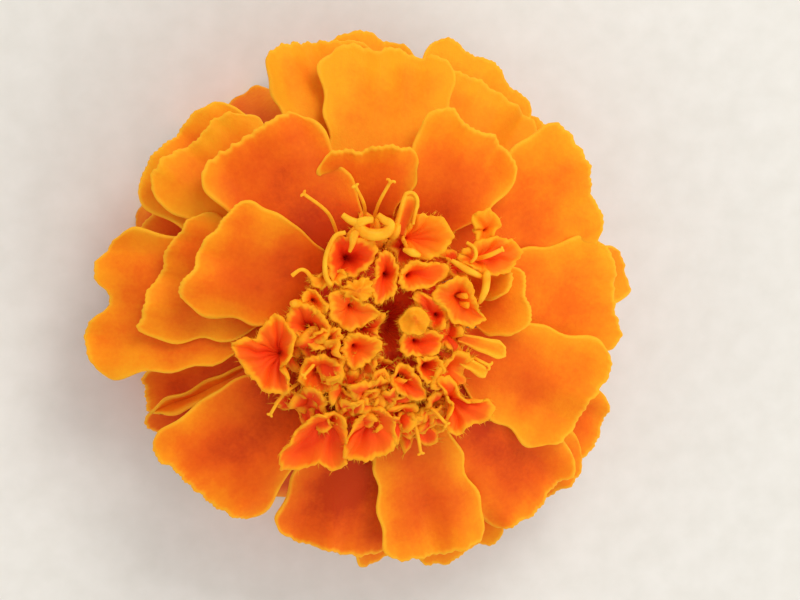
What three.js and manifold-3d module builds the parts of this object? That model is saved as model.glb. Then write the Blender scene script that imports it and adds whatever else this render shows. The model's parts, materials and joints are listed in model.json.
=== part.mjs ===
// A double French marigold head, picked just under its green cup and set down face up.
//
// Millimetres, +Z up along the stem. The origin lies on the surface the head rests on, below the
// middle of its spread. The head stands on the cut end of its stub and on the turned-down tips of
// its lowest petals.
//
// Four pieces: the stem with its receptacle, the green cup of fused bracts, the ray florets
// (the broad petals and the packed tubes they grow from) and the crest of disc florets.
import * as THREE from "three";
import { mergeVertices } from "three/addons/utils/BufferGeometryUtils.js";
import Module from "manifold-3d";

const wasm = await Module();
wasm.setup();
const { Manifold } = wasm;

// Driving dimensions
const HEAD_AXIS = [-0.9, 0.2]; // the stem's place under a spread that is wider on one side
const GAP = 0.35; // clearance between separate pieces
const BLADE = 0.75; // thickness of a petal
const CUP_BOTTOM = 2.4;
const CUP_TOP = 12.4;
const CUP_TEETH = 7;
const TOOTH_HEIGHT = 1.1;
const TUBES_BOTTOM = 6.6; // where the florets stand on the receptacle
const TUBE_COUNT = 18; // tubes round the outside of the bundle
const CREST_TOP = 22.6; // top of the crest's core, under the florets' mouths
const CREST_FLORETS = 40;
const FLORET_LENGTH = 2.3; // how far a floret stands out of the core
const FLORET_RADIUS = 1.45;
const FLORET_LOBES = 5;
const SEED = 20260;

// Where a petal's claw leaves the bundle: distance from the axis, height, upward slope, and the
// claw's width as a share of the margin's
const SKIRT_ROOT = { from: 5.6, base: 14.3, climb: 0, claw: 0.25 };
const LOWER_ROOT = { from: 5.6, base: 15.0, climb: 4, claw: 0.25 };
const OUTER_ROOT = { from: 6.2, base: 16.2, climb: 12, claw: 0.25 };
const INNER_ROOT = { from: 8.0, base: 17.6, climb: 30, claw: 0.5 };

// Petals, layer by layer. turn: bearing of the midline in degrees; reach: how far the margin
// lies from the axis; rise: height of the margin; wide: width at the margin; slant: how much
// further the left-hand corner reaches than the middle; round: how far the corners fall back;
// tip: slope at the margin in degrees; bank: how much higher the left-hand corner is; cup: how
// far both side edges turn up; notch: depth of the cut in the middle of the margin; level: how
// much higher the claw starts, so that petals of one layer lie over each other.
const LOWER_PETALS = [
  { turn: 40, reach: 23.8, rise: 9.5, wide: 8.5, round: 1.2, tip: -35 },
  { turn: 60, reach: 25.0, rise: 10.0, level: 0.8, wide: 11.6, slant: 0.5, round: 1.4, tip: -25 },
  { turn: 87, reach: 24.3, rise: 9.0, wide: 9.0, round: 1.9, tip: -35 },
  { turn: 99, reach: 24.0, rise: 11.5, level: 0.8, wide: 10.2, slant: 0.4, round: 0.8, tip: -20 },
  { turn: 139, reach: 22.8, rise: 11.0, level: 0.8, wide: 12.2, slant: 0.2, round: 1.0, tip: -25 },
  { turn: 157, reach: 20.5, rise: 9.0, wide: 7.0, slant: 0.9, round: 1.0, tip: -30 },
  { turn: 179, reach: 24.5, rise: 10.5, level: 0.8, wide: 13.6, slant: 0.9, round: 1.6, notch: 1.3, tip: -25 },
  { turn: 204, reach: 21.3, rise: 8.0, level: 0.8, wide: 5.0, slant: 0.5, round: 1.8, cup: 1.6, tip: -20 },
  { turn: 214, reach: 22.1, rise: 6.5, wide: 5.0, slant: -0.4, round: 2.2, cup: 1.6, tip: -30 },
  { turn: 275, reach: 24.8, rise: 9.5, wide: 4.6, round: 0.6, cup: 1.0, tip: -25 },
  { turn: 293, reach: 26.2, rise: 10.5, level: 0.8, wide: 9.0, slant: 0.3, round: 0.9, tip: -25 },
  { turn: 318, reach: 27.0, rise: 10.0, wide: 8.0, slant: 0.3, round: 1.6, tip: -25 },
  { turn: 331, reach: 27.2, rise: 9.0, level: 0.8, wide: 7.4, slant: -0.5, round: 1.5, tip: -20 },
  { turn: 5, reach: 26.2, rise: 9.0, wide: 5.4, slant: -0.4, round: 1.5, cup: 0.8, tip: -35 },
];
const OUTER_PETALS = [
  { turn: 84, reach: 23.1, rise: 14.0, level: 0.8, wide: 12.4, slant: 0.1, round: 0.8, tip: -8 },
  { turn: 56, reach: 22.9, rise: 12.5, wide: 11.4, round: 0.6, tip: -15 },
  { turn: 137, reach: 21.7, rise: 13.6, wide: 11.4, slant: 0.8, round: 0.6, tip: -12 },
  { turn: 170, reach: 19.1, rise: 14.8, level: 0.8, wide: 12.2, slant: 1.3, round: 0.7, tip: -5, bank: -0.6 },
  { turn: 227, reach: 22.8, rise: 14.0, wide: 11.8, slant: -0.2, round: 0.7, tip: -12 },
  { turn: 263, reach: 23.1, rise: 12.4, wide: 11.0, slant: 0.6, round: 0.6, tip: -18 },
  { turn: 287, reach: 24.5, rise: 14.0, level: 0.8, wide: 9.8, slant: 0.4, round: 0.9, tip: -12 },
  { turn: 312, reach: 25.7, rise: 12.8, wide: 10.2, slant: 0.1, round: 0.9, tip: -15 },
  { turn: 335, reach: 22.8, rise: 16.2, level: 0.8, wide: 11.2, slant: 0.6, round: 0.9, tip: -2, bank: 0.8 },
  { turn: 1, reach: 23.8, rise: 14.0, level: 0.4, wide: 11.0, slant: -0.4, round: 0.9, tip: -14 },
  { turn: 29, reach: 23.9, rise: 15.0, wide: 12.2, slant: 0.6, round: 1.2, tip: -5, bank: 0.8 },
];
const INNER_PETALS = [
  { turn: 58, reach: 18.6, rise: 19.2, wide: 10.0, slant: 0.2, round: 0.6, tip: 14 },
  { turn: 92, reach: 14.5, rise: 20.2, wide: 9.4, slant: -0.3, round: 0.9, tip: 30 },
  { turn: 126, reach: 19.2, rise: 17.8, wide: 11.2, slant: 0.3, round: 0.7, tip: 6 },
  { turn: 160, reach: 16.5, rise: 18.4, wide: 10.8, slant: 0.8, round: 1.0, tip: 12 },
];
// Small petal-like florets standing round the rim of the crest
const RIM_FLORETS = [
  { turn: 2, reach: 14.0, rise: 20.0, wide: 6.8, round: 0.8, tip: 10 },
  { turn: 24, reach: 13.6, rise: 21.8, wide: 4.4, round: 1.2, cup: 1.2, tip: 30 },
  { turn: 41, reach: 13.3, rise: 22.2, wide: 3.0, round: 1.0, cup: 0.8, tip: 35 },
  { turn: 78, reach: 12.0, rise: 21.8, wide: 2.0, round: 1.0, cup: 0.4, tip: 60 },
  { turn: 196, reach: 13.7, rise: 22.0, wide: 6.2, round: 1.4, cup: 1.6, notch: 0.8, tip: 10 },
  { turn: 213, reach: 12.6, rise: 21.4, wide: 3.6, round: 1.2, cup: 1.2, tip: 10 },
  { turn: 240, reach: 16.6, rise: 19.2, wide: 4.8, round: 1.0, cup: 1.0, tip: -10 },
  { turn: 253, reach: 15.2, rise: 19.4, wide: 4.6, round: 1.0, cup: 0.8, tip: -10 },
  { turn: 267, reach: 13.8, rise: 20.4, wide: 5.0, round: 1.2, cup: 1.0, tip: 0 },
  { turn: 288, reach: 12.8, rise: 19.4, wide: 3.2, round: 1.0, cup: 0.8, tip: 5 },
  { turn: 304, reach: 12.6, rise: 21.0, wide: 2.8, round: 1.0, cup: 0.6, tip: 5 },
  { turn: 317, reach: 12.8, rise: 21.6, wide: 4.0, round: 1.0, cup: 0.8, tip: 10 },
  { turn: 344, reach: 12.8, rise: 20.4, wide: 2.2, round: 1.4, cup: 0.4, tip: 15 },
];
// The lowest layer is hidden from above. Its petals turn down until their tips touch the surface.
const SKIRT_COUNT = 9;
const SKIRT_PETAL = { reach: 19.4, rise: 0, wide: 9.6, round: 0.7, tip: -78 };

// Styles that stand clear of the crest: bearing, distance and height at the foot and at the tip
const STYLES = [
  { foot: [101, 7.4, 20.3], tip: [104, 11.6, 25.4] },
  { foot: [94, 7.4, 20.3], tip: [89, 11.6, 25.6] },
  { foot: [119, 7.2, 20.3], tip: [124, 12.6, 24.0] },
  { foot: [150, 6.4, 20.8], tip: [156, 9.4, 24.4] },
  { foot: [8, 5.4, 21.0], tip: [10, 7.2, 25.0] },
  { foot: [222, 7.4, 20.0], tip: [228, 12.8, 22.2] },
  { foot: [283, 7.4, 19.8], tip: [288, 13.2, 21.8] },
  { foot: [33, 7.2, 20.2], tip: [28, 11.0, 24.4] },
];
const STYLE_RADIUS = 0.34;
// One style is thicker and curls over into a ring
const CURL = { foot: [112, 7.2, 20.4], centre: [105, 8.2, 24.4], ringRadius: 1.2, radius: 0.45 };

const COLOURS = {
  green: 0x5c7a34,
  petal: 0xf0701a,
  crest: 0xf0960f,
};

const DEGREE = Math.PI / 180;
const FULL_TURN = Math.PI * 2;

// Seeded draws between 0 and 1
function draws(seed) {
  let state = seed >>> 0;
  return () => {
    state = (Math.imul(state, 1664525) + 1013904223) >>> 0;
    return state / 2 ** 32;
  };
}

// Solids ---------------------------------------------------------------------------------------

function toSolid(geometry) {
  const bare = geometry.clone();
  bare.deleteAttribute("normal");
  bare.deleteAttribute("uv");
  const merged = mergeVertices(bare, 1e-4);
  return new Manifold(new wasm.Mesh({
    numProp: 3,
    vertProperties: new Float32Array(merged.attributes.position.array),
    triVerts: new Uint32Array(merged.index.array),
  }));
}

function toGeometry(solid) {
  const mesh = solid.getMesh();
  const geometry = new THREE.BufferGeometry();
  geometry.setAttribute("position", new THREE.BufferAttribute(mesh.vertProperties, mesh.numProp));
  geometry.setIndex(new THREE.BufferAttribute(mesh.triVerts, 1));
  const faceted = geometry.toNonIndexed();
  faceted.computeVertexNormals();
  return faceted;
}

// Keeps the one large body: loose scraps go, and a hollow that the joining sealed is filled
function largestBody(solid) {
  const bodies = solid.decompose();
  bodies.sort((a, b) => b.volume() - a.volume());
  return bodies[0];
}

function fromPoints(points, triangles) {
  const geometry = new THREE.BufferGeometry();
  geometry.setAttribute("position", new THREE.Float32BufferAttribute(points.flat(), 3));
  geometry.setIndex(triangles);
  return geometry;
}

// A turned solid, from [distance from the axis, height] points
function turned(profile, sides) {
  const points = profile.map(([r, z]) => new THREE.Vector2(r, z));
  const geometry = new THREE.LatheGeometry(points, sides);
  geometry.rotateX(Math.PI / 2);
  return geometry;
}

// A closed ring whose section follows pointAt(step, angle) round the axis
function ring(steps, sides, pointAt) {
  const points = [];
  const triangles = [];
  for (let side = 0; side < sides; side += 1) {
    for (let step = 0; step < steps; step += 1) {
      const angle = (FULL_TURN * side) / sides;
      const [r, z] = pointAt(step, angle);
      points.push([r * Math.cos(angle), r * Math.sin(angle), z]);
      const a = side * steps + step;
      const b = side * steps + ((step + 1) % steps);
      const c = ((side + 1) % sides) * steps + step;
      const d = ((side + 1) % sides) * steps + ((step + 1) % steps);
      triangles.push(a, c, d, a, d, b);
    }
  }
  return fromPoints(points, triangles);
}

// Stem and cup ---------------------------------------------------------------------------------

function stem() {
  const profile = [
    [0, 0], [2.0, 0], [2.05, 1.2], [2.2, CUP_BOTTOM], [2.6, 3.6], [3.3, 5.0], [3.1, 5.8], [0, 6.2],
  ];
  return turned(profile, 20);
}

const CUP_WALL = 0.7;
const CUP_RIB = 0.22; // how far the middle of each bract stands out
// The cup's inner wall, as distance from the axis at a height
const CUP_PROFILE = [[2.6, CUP_BOTTOM], [3.3, 3.8], [4.2, 6.2], [4.9, 9.6], [5.3, CUP_TOP]];

function involucre() {
  const last = CUP_PROFILE.length - 1;
  const sides = CUP_TEETH * 6;
  const steps = CUP_PROFILE.length * 2;
  return ring(steps, sides, (step, angle) => {
    const outside = step <= last;
    const level = outside ? step : steps - 1 - step;
    const [inner, z] = CUP_PROFILE[level];
    const across = Math.abs((((angle * CUP_TEETH) / FULL_TURN) % 1) - 0.5) * 2; // 0 mid-bract, 1 seam
    const tooth = level === last ? TOOTH_HEIGHT * (1 - across) : 0;
    const rib = outside ? CUP_RIB * Math.cos((across * Math.PI) / 2) : 0;
    return [inner + (outside ? CUP_WALL + rib : 0), z + tooth];
  });
}

// Petals ---------------------------------------------------------------------------------------

const CLAW_END = 0.08; // the blade starts to widen here, and is nearly full at BLADE_FROM
const BLADE_FROM = 0.45;
const FLARE = 0.4; // share of the widening that goes on to the margin
const ALONG = [0, 0.24, 0.45, 0.75, 1];
const WAVE_LENGTH = 7;

// The petal's midline, in the upright plane through the axis
function midline(petal) {
  const start = new THREE.Vector2(petal.from, petal.base + (petal.level ?? 0));
  const end = new THREE.Vector2(petal.reach, petal.rise);
  const handle = start.distanceTo(end) * 0.42;
  const heading = (degrees) => new THREE.Vector2(
    Math.cos(degrees * DEGREE),
    Math.sin(degrees * DEGREE),
  );
  const leave = heading(petal.climb).multiplyScalar(handle).add(start);
  const arrive = heading(petal.tip).multiplyScalar(-handle).add(end);
  return new THREE.CubicBezierCurve(start, leave, arrive, end);
}

// A point of the petal's middle surface, moved out by offset along its normal
function bladePoint(petal, curve, along, across, offset) {
  const { slant = 0, round, notch = 0, bank = 0, cup = 0, claw, ruffle, phase } = petal;
  const length = petal.reach - petal.from;
  const fallBack = round * across ** 4 + notch * Math.exp(-((across * 4) ** 2));
  const end = along * (1 + (slant * across - fallBack) / length);
  const middle = curve.getPoint(end);
  const slope = curve.getTangent(Math.min(end, 1));
  const opened = THREE.MathUtils.smoothstep(end, CLAW_END, BLADE_FROM);
  const spread = (1 - FLARE) * opened + FLARE * end;
  const half = (petal.wide / 2) * (claw + (1 - claw) * spread);
  const turnsAcross = ((petal.wide / 2) * across * FULL_TURN) / WAVE_LENGTH;
  const wave = Math.sin(turnsAcross + phase) + 0.5 * Math.sin(turnsAcross * 1.7 + phase * 2);
  const lift = ruffle * along ** 3 * wave + (cup * across ** 2 + bank * across) * along + offset;
  return [middle.x - slope.y * lift, half * across, Math.max(middle.y + slope.x * lift, 0)];
}

function petalSolid(petal, columns) {
  const curve = midline(petal);
  const rows = ALONG.length;
  const count = rows * columns;
  const points = [];
  for (const offset of [BLADE / 2, -BLADE / 2]) {
    for (const along of ALONG) {
      for (let column = 0; column < columns; column += 1) {
        const across = (column / (columns - 1)) * 2 - 1;
        points.push(bladePoint(petal, curve, along, across, offset));
      }
    }
  }
  const triangles = [];
  for (let row = 0; row < rows - 1; row += 1) {
    for (let column = 0; column < columns - 1; column += 1) {
      const a = row * columns + column;
      const b = a + columns;
      triangles.push(a, b, b + 1, a, b + 1, a + 1);
      triangles.push(count + a, count + b + 1, count + b, count + a, count + a + 1, count + b + 1);
    }
  }
  const rim = [];
  for (let row = 0; row < rows - 1; row += 1) rim.push(row * columns);
  for (let column = 0; column < columns - 1; column += 1) rim.push((rows - 1) * columns + column);
  for (let row = rows - 1; row > 0; row -= 1) rim.push(row * columns + columns - 1);
  for (let column = columns - 1; column > 0; column -= 1) rim.push(column);
  rim.forEach((p, i) => {
    const q = rim[(i + 1) % rim.length];
    triangles.push(p, count + p, count + q, p, count + q, q);
  });
  const geometry = fromPoints(points, triangles);
  geometry.rotateZ(petal.turn * DEGREE);
  return toSolid(geometry);
}

function layer(petals, root, ruffle, columns, seed) {
  const draw = draws(seed);
  return petals.map((petal) => petalSolid(
    { ...root, ...petal, ruffle, phase: draw() * FULL_TURN },
    columns,
  ));
}

function skirt() {
  const draw = draws(SEED);
  const petals = [];
  for (let i = 0; i < SKIRT_COUNT; i += 1) {
    const turn = (360 / SKIRT_COUNT) * (i + 0.3 * draw());
    petals.push({ ...SKIRT_PETAL, turn, reach: SKIRT_PETAL.reach + draw() });
  }
  return petals;
}

// The ray florets' tubes, packed round the inside of the cup and fanning out over its mouth
function tubeBundle() {
  const outer = [
    [3.6, TUBES_BOTTOM], [4.35, 9.6], [4.8, 12.2], [5.1, 13.9], [8.4, 14.5], [10.2, 15.8],
    [10.4, 17.6], [9.6, 18.4], [6.0, 17.4],
  ];
  const inner = [[3.0, 14.4], [2.9, TUBES_BOTTOM]];
  const profile = [...outer, ...inner];
  const flutedSteps = 5;
  return ring(profile.length, TUBE_COUNT * 2, (step, angle) => {
    const [r, z] = profile[step];
    const flute = step < flutedSteps ? 0.16 * Math.cos(angle * TUBE_COUNT) : 0;
    return [r + flute, z];
  });
}

// Crest ----------------------------------------------------------------------------------------

// The space the crest fills. The ray florets stay clear of it.
function crestSpace(grow) {
  const profile = [
    [0, TUBES_BOTTOM - grow], [2.5 + grow, TUBES_BOTTOM - grow], [2.5 + grow, 14.6 - grow],
    [7.6 + grow, 17.6 - grow], [9.6 + grow, 19.0], [10.4 + grow, 20.4], [10.0 + grow, 22.2],
    [7.6 + grow, 24.6 + grow], [3.6 + grow, 26.0 + grow], [0, 26.4 + grow],
  ];
  return toSolid(turned(profile, 20));
}

function crestCore() {
  const profile = [
    [0, TUBES_BOTTOM], [2.5, TUBES_BOTTOM], [2.5, 14.6], [7.4, 17.6], [8.4, 18.8], [8.2, 19.8],
    [6.6, 21.4], [4.2, CREST_TOP - 0.2], [2.2, CREST_TOP], [1.3, 20.4], [0, 19.6],
  ];
  return toSolid(turned(profile, 20));
}

// One five-lobed funnel, standing along +Z from its foot at the origin
function funnel(length, radius, draw) {
  const sides = FLORET_LOBES * 2;
  const levels = [
    { r: 0.4, z: 0, lobe: 0 },
    { r: radius, z: length, lobe: 0.24 },
    { r: radius - 0.42, z: length, lobe: 0.2 },
  ];
  const lobeLift = Array.from({ length: sides }, () => (draw() - 0.5) * 0.5);
  const points = [];
  for (const { r, z, lobe } of levels) {
    for (let side = 0; side < sides; side += 1) {
      const angle = (FULL_TURN * side) / sides;
      const reach = r * (1 + (side % 2 === 0 ? lobe : -lobe));
      const lift = lobe > 0 ? lobeLift[side] : 0;
      points.push([reach * Math.cos(angle), reach * Math.sin(angle), z + lift]);
    }
  }
  const foot = points.push([0, 0, 0]) - 1;
  const throat = points.push([0, 0, length * 0.62]) - 1;
  const triangles = [];
  for (let side = 0; side < sides; side += 1) {
    const next = (side + 1) % sides;
    triangles.push(foot, next, side);
    for (let level = 0; level < levels.length - 1; level += 1) {
      const a = level * sides + side;
      const b = level * sides + next;
      triangles.push(a, b, b + sides, a, b + sides, a + sides);
    }
    const top = (levels.length - 1) * sides;
    triangles.push(throat, top + side, top + next);
  }
  return fromPoints(points, triangles);
}

const UP = new THREE.Vector3(0, 0, 1);
const GOLDEN_ANGLE = Math.PI * (3 - Math.sqrt(5));

// Funnels in a sunflower spiral over the core, each leaning outwards by its distance from the axis
function crestFlorets() {
  const draw = draws(SEED + 1);
  const solids = [];
  const innermost = 2.0;
  const outermost = 8.6;
  for (let i = 0; i < CREST_FLORETS; i += 1) {
    const share = (i + 0.5) / CREST_FLORETS;
    const r = Math.sqrt(innermost ** 2 + (outermost ** 2 - innermost ** 2) * share);
    const angle = i * GOLDEN_ANGLE;
    const lean = (r / outermost) ** 2 * 64 * DEGREE + (draw() - 0.5) * 0.3;
    const outward = new THREE.Vector3(Math.cos(angle), Math.sin(angle), 0);
    const axis = outward.clone().multiplyScalar(Math.sin(lean)).addScaledVector(UP, Math.cos(lean));
    const height = CREST_TOP - 0.7 - 2.8 * (r / outermost) ** 3;
    const geometry = funnel(FLORET_LENGTH + 0.6 * draw(), FLORET_RADIUS * (0.85 + 0.3 * draw()), draw);
    geometry.rotateZ(draw() * FULL_TURN);
    geometry.applyQuaternion(new THREE.Quaternion().setFromUnitVectors(UP, axis));
    geometry.translate(outward.x * r * 0.93, outward.y * r * 0.93, height);
    solids.push(toSolid(geometry));
  }
  return solids;
}

function atBearing([turn, r, z]) {
  return new THREE.Vector3(r * Math.cos(turn * DEGREE), r * Math.sin(turn * DEGREE), z);
}

function rod(points, radius, steps) {
  const section = new THREE.Shape();
  section.absarc(0, 0, radius, 0, FULL_TURN);
  return toSolid(new THREE.ExtrudeGeometry(section, {
    extrudePath: new THREE.CatmullRomCurve3(points),
    steps,
    curveSegments: 3,
    bevelEnabled: false,
  }));
}

function style({ foot, tip }) {
  const start = atBearing(foot);
  const end = atBearing(tip);
  const bend = start.clone().lerp(end, 0.5).addScaledVector(UP, 0.7);
  return rod([start, bend, end], STYLE_RADIUS, 4);
}

function curledStyle({ foot, centre, ringRadius, radius }) {
  const middle = atBearing(centre);
  const points = [atBearing(foot)];
  const ringPoints = 7;
  for (let i = 0; i < ringPoints; i += 1) {
    const angle = Math.PI + (FULL_TURN * 0.86 * i) / (ringPoints - 1);
    const onRing = new THREE.Vector3(Math.cos(angle), Math.sin(angle), 0.12 * i);
    points.push(onRing.multiplyScalar(ringRadius).add(middle));
  }
  return rod(points, radius, 12);
}

// Assembly -------------------------------------------------------------------------------------

const petals = [
  ...layer(skirt(), SKIRT_ROOT, 0.25, 5, SEED + 2),
  ...layer(LOWER_PETALS, LOWER_ROOT, 0.4, 6, SEED + 3),
  ...layer(OUTER_PETALS, OUTER_ROOT, 0.4, 7, SEED + 4),
  ...layer(INNER_PETALS, INNER_ROOT, 0.35, 7, SEED + 5),
  ...layer(RIM_FLORETS, INNER_ROOT, 0.15, 4, SEED + 6),
];
const rays = Manifold.union([toSolid(tubeBundle()), ...petals]).subtract(crestSpace(GAP));
const crest = Manifold.union([crestCore(), ...crestFlorets()]).intersect(crestSpace(0));
const crestWithStyles = Manifold.union([crest, ...STYLES.map(style), curledStyle(CURL)]);

const group = new THREE.Group();

function addPiece(name, geometry, color, roughness) {
  const material = new THREE.MeshStandardMaterial({ color, roughness, metalness: 0 });
  const mesh = new THREE.Mesh(geometry, material);
  mesh.name = name;
  mesh.position.set(HEAD_AXIS[0], HEAD_AXIS[1], 0);
  group.add(mesh);
}

addPiece("stem", stem(), COLOURS.green, 0.7);
addPiece("involucre", involucre(), COLOURS.green, 0.6);
addPiece("ray_florets", toGeometry(largestBody(rays)), COLOURS.petal, 0.65);
addPiece("disc_florets", toGeometry(largestBody(crestWithStyles)), COLOURS.crest, 0.65);

export default group;
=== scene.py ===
"""A double French marigold head, picked and set down face up: how it looks.

Lengths in the tables are millimetres, as on the part. Meshes are made in metres, in the part's
frame: +Z up out of the flower's face, with the surface it rests on at z = 0.
"""
import json
import math

import bpy
import numpy as np
from mathutils import Matrix, Vector

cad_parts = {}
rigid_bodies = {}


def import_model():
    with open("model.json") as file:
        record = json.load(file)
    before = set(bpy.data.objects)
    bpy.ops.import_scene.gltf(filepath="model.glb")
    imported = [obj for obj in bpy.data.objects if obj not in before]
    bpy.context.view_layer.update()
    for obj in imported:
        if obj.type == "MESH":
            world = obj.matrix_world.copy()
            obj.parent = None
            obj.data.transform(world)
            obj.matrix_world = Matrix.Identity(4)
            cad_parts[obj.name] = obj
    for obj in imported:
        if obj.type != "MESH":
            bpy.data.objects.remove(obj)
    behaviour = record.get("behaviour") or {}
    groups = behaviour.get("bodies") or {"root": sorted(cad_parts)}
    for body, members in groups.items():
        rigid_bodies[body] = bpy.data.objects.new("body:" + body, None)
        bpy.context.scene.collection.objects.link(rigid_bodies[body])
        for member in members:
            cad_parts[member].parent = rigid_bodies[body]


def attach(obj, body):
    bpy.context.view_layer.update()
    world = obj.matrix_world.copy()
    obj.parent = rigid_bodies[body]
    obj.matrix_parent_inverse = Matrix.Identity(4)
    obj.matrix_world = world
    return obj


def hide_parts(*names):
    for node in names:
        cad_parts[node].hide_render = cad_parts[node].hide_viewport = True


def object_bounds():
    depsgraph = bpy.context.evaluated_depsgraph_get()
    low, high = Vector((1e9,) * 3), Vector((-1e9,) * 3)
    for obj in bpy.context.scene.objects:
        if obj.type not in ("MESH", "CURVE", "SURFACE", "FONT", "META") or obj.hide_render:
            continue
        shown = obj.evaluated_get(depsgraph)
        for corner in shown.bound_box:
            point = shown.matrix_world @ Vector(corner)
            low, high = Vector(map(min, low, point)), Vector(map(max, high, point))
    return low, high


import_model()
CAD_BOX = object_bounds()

MM = 0.001
TURN = 2 * math.pi
GOLDEN_ANGLE = math.pi * (3 - math.sqrt(5))
HEAD_AXIS = np.array([-0.9, 0.2, 0.0])  # the stem's place in the frame
SEED = 20260

# ---------------------------------------------------------------- petals, layer by layer
# turn: bearing of the midline; reach: distance of the margin; rise: its height; wide: its width;
# slant: extra reach of the left-hand corner; fall: how far the corners fall back; tip: slope at
# the margin; bank: extra height of the left-hand corner; cup: how far the sides turn up;
# notch: depth of the cut in the margin; level: extra height of the claw; warm: how red it is,
# partly its own tone and partly painted shade on petals that lean away from the key light.
# A layer's own: start and base: distance and height where its claws begin; climb: their slope there;
# claw: their width, as a share of the blade's.
SKIRT_ROOT = dict(start=5.6, base=14.3, climb=0, claw=0.25)
LOWER_ROOT = dict(start=5.6, base=15.0, climb=4, claw=0.25)
OUTER_ROOT = dict(start=6.2, base=16.2, climb=12, claw=0.25)
INNER_ROOT = dict(start=8.0, base=17.6, climb=30, claw=0.5)

# In these tables warm is partly painted shade: petals towards the bottom of the picture, turned away from
# the key light, are given a redder, darker tone than those at the top.
LOWER_PETALS = [
    dict(turn=40, reach=23.8, rise=9.5, wide=8.5, fall=1.2, tip=-35, warm=0.2),
    dict(turn=60, reach=25.0, rise=10.0, level=0.8, wide=11.6, slant=0.5, fall=1.4, tip=-25, warm=0.1),
    dict(turn=87, reach=24.3, rise=9.0, wide=9.0, fall=1.9, tip=-35, warm=0.1),
    dict(turn=99, reach=24.0, rise=11.5, level=0.8, wide=10.2, slant=0.4, fall=0.8, tip=-20, warm=0.1),
    dict(turn=139, reach=22.8, rise=11.0, level=0.8, wide=12.2, slant=0.2, fall=1.0, tip=-25, warm=0.3),
    dict(turn=157, reach=20.5, rise=9.0, wide=7.0, slant=0.9, fall=1.0, tip=-30, warm=0.6),
    dict(turn=179, reach=24.5, rise=10.5, level=0.8, wide=13.6, slant=0.9, fall=1.6, notch=1.3,
         tip=-25, warm=0.35),
    dict(turn=204, reach=21.3, rise=8.0, level=0.8, wide=5.0, slant=0.5, fall=1.8, cup=1.6, tip=-20,
         warm=0.6),
    dict(turn=214, reach=22.1, rise=6.5, wide=5.0, slant=-0.4, fall=2.2, cup=1.6, tip=-30, warm=0.7),
    dict(turn=275, reach=24.8, rise=9.5, wide=4.6, fall=0.6, cup=1.0, tip=-25, warm=0.5),
    dict(turn=293, reach=26.2, rise=10.5, level=0.8, wide=9.0, slant=0.3, fall=0.9, tip=-25, warm=0.4),
    dict(turn=318, reach=27.0, rise=10.0, wide=8.0, slant=0.3, fall=1.6, tip=-25, warm=0.5),
    dict(turn=331, reach=27.2, rise=9.0, level=0.8, wide=7.4, slant=-0.5, fall=1.5, tip=-20, warm=0.5),
    dict(turn=5, reach=26.2, rise=9.0, wide=5.4, slant=-0.4, fall=1.5, cup=0.8, tip=-35, warm=0.35),
]
OUTER_PETALS = [
    dict(turn=84, reach=23.1, rise=14.0, level=0.8, wide=12.4, slant=0.1, fall=0.8, tip=-8, warm=0.05),
    dict(turn=56, reach=22.9, rise=12.5, wide=11.4, fall=0.6, tip=-15, warm=0.1),
    dict(turn=137, reach=21.7, rise=13.6, wide=11.4, slant=0.8, fall=0.6, tip=-12, warm=0.2),
    dict(turn=170, reach=19.1, rise=14.8, level=0.8, wide=12.2, slant=1.3, fall=0.7, tip=-5, bank=-0.6,
         warm=0.35),
    dict(turn=227, reach=22.8, rise=14.0, wide=11.8, slant=-0.2, fall=0.7, tip=-12, warm=0.6),
    dict(turn=263, reach=23.1, rise=12.4, wide=11.0, slant=0.6, fall=0.6, tip=-18, warm=0.75),
    dict(turn=287, reach=24.5, rise=14.0, level=0.8, wide=9.8, slant=0.4, fall=0.9, tip=-12, warm=0.45),
    dict(turn=312, reach=25.7, rise=12.8, wide=10.2, slant=0.1, fall=0.9, tip=-15, warm=0.62),
    dict(turn=335, reach=22.8, rise=16.2, level=0.8, wide=11.2, slant=0.6, fall=0.9, tip=-2, bank=0.8,
         warm=0.35),
    dict(turn=1, reach=23.8, rise=14.0, level=0.4, wide=11.0, slant=-0.4, fall=0.9, tip=-14, warm=0.28),
    dict(turn=29, reach=23.9, rise=15.0, wide=12.2, slant=0.6, fall=1.2, tip=-5, bank=0.8, warm=0.28),
]
INNER_PETALS = [
    dict(turn=58, reach=18.6, rise=19.2, wide=10.0, slant=0.2, fall=0.6, tip=14, warm=0.38),
    dict(turn=92, reach=14.5, rise=20.2, wide=9.4, slant=-0.3, fall=0.9, tip=30, warm=0.48),
    dict(turn=126, start=5.2, base=18.5, reach=19.2, rise=17.8, wide=11.2, claw=0.7, slant=0.3, fall=0.7,
         tip=6, bank=-0.5, warm=0.58),
    dict(turn=160, start=5.4, base=18.8, reach=16.5, rise=19.0, wide=10.8, claw=0.65, slant=0.8, fall=1.0,
         tip=12, bank=-0.9, warm=0.42),
]
RIM_FLORETS = [
    dict(turn=2, reach=14.0, rise=20.0, wide=6.8, fall=0.8, tip=10, warm=0.35),
    dict(turn=12, reach=12.2, rise=21.0, wide=3.2, fall=0.9, tip=20, bank=-0.5, warm=0.3),
    dict(turn=77, start=7.0, base=22.8, climb=10, reach=10.6, rise=24.0, wide=1.45, claw=0.7, fall=0.3,
         cup=0.2, tip=15, warm=0.55),
    dict(turn=298, reach=13.0, rise=19.0, wide=2.6, fall=0.9, cup=0.5, tip=0, warm=0.3),
    dict(turn=284, reach=12.4, rise=19.6, wide=3.0, fall=1.0, cup=0.8, tip=10, warm=0.4),
    dict(turn=341.3, start=7.4, base=22.4, climb=0, reach=12.1, rise=22.0, wide=1.5, claw=0.6, fall=0.5,
         cup=0.3, tip=-10, warm=0.4),
    dict(turn=329, start=7.6, base=22.4, climb=0, reach=11.1, rise=22.2, wide=1.1, claw=0.7, fall=0.3,
         cup=0.4, tip=-5, warm=0.2),
]
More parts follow.
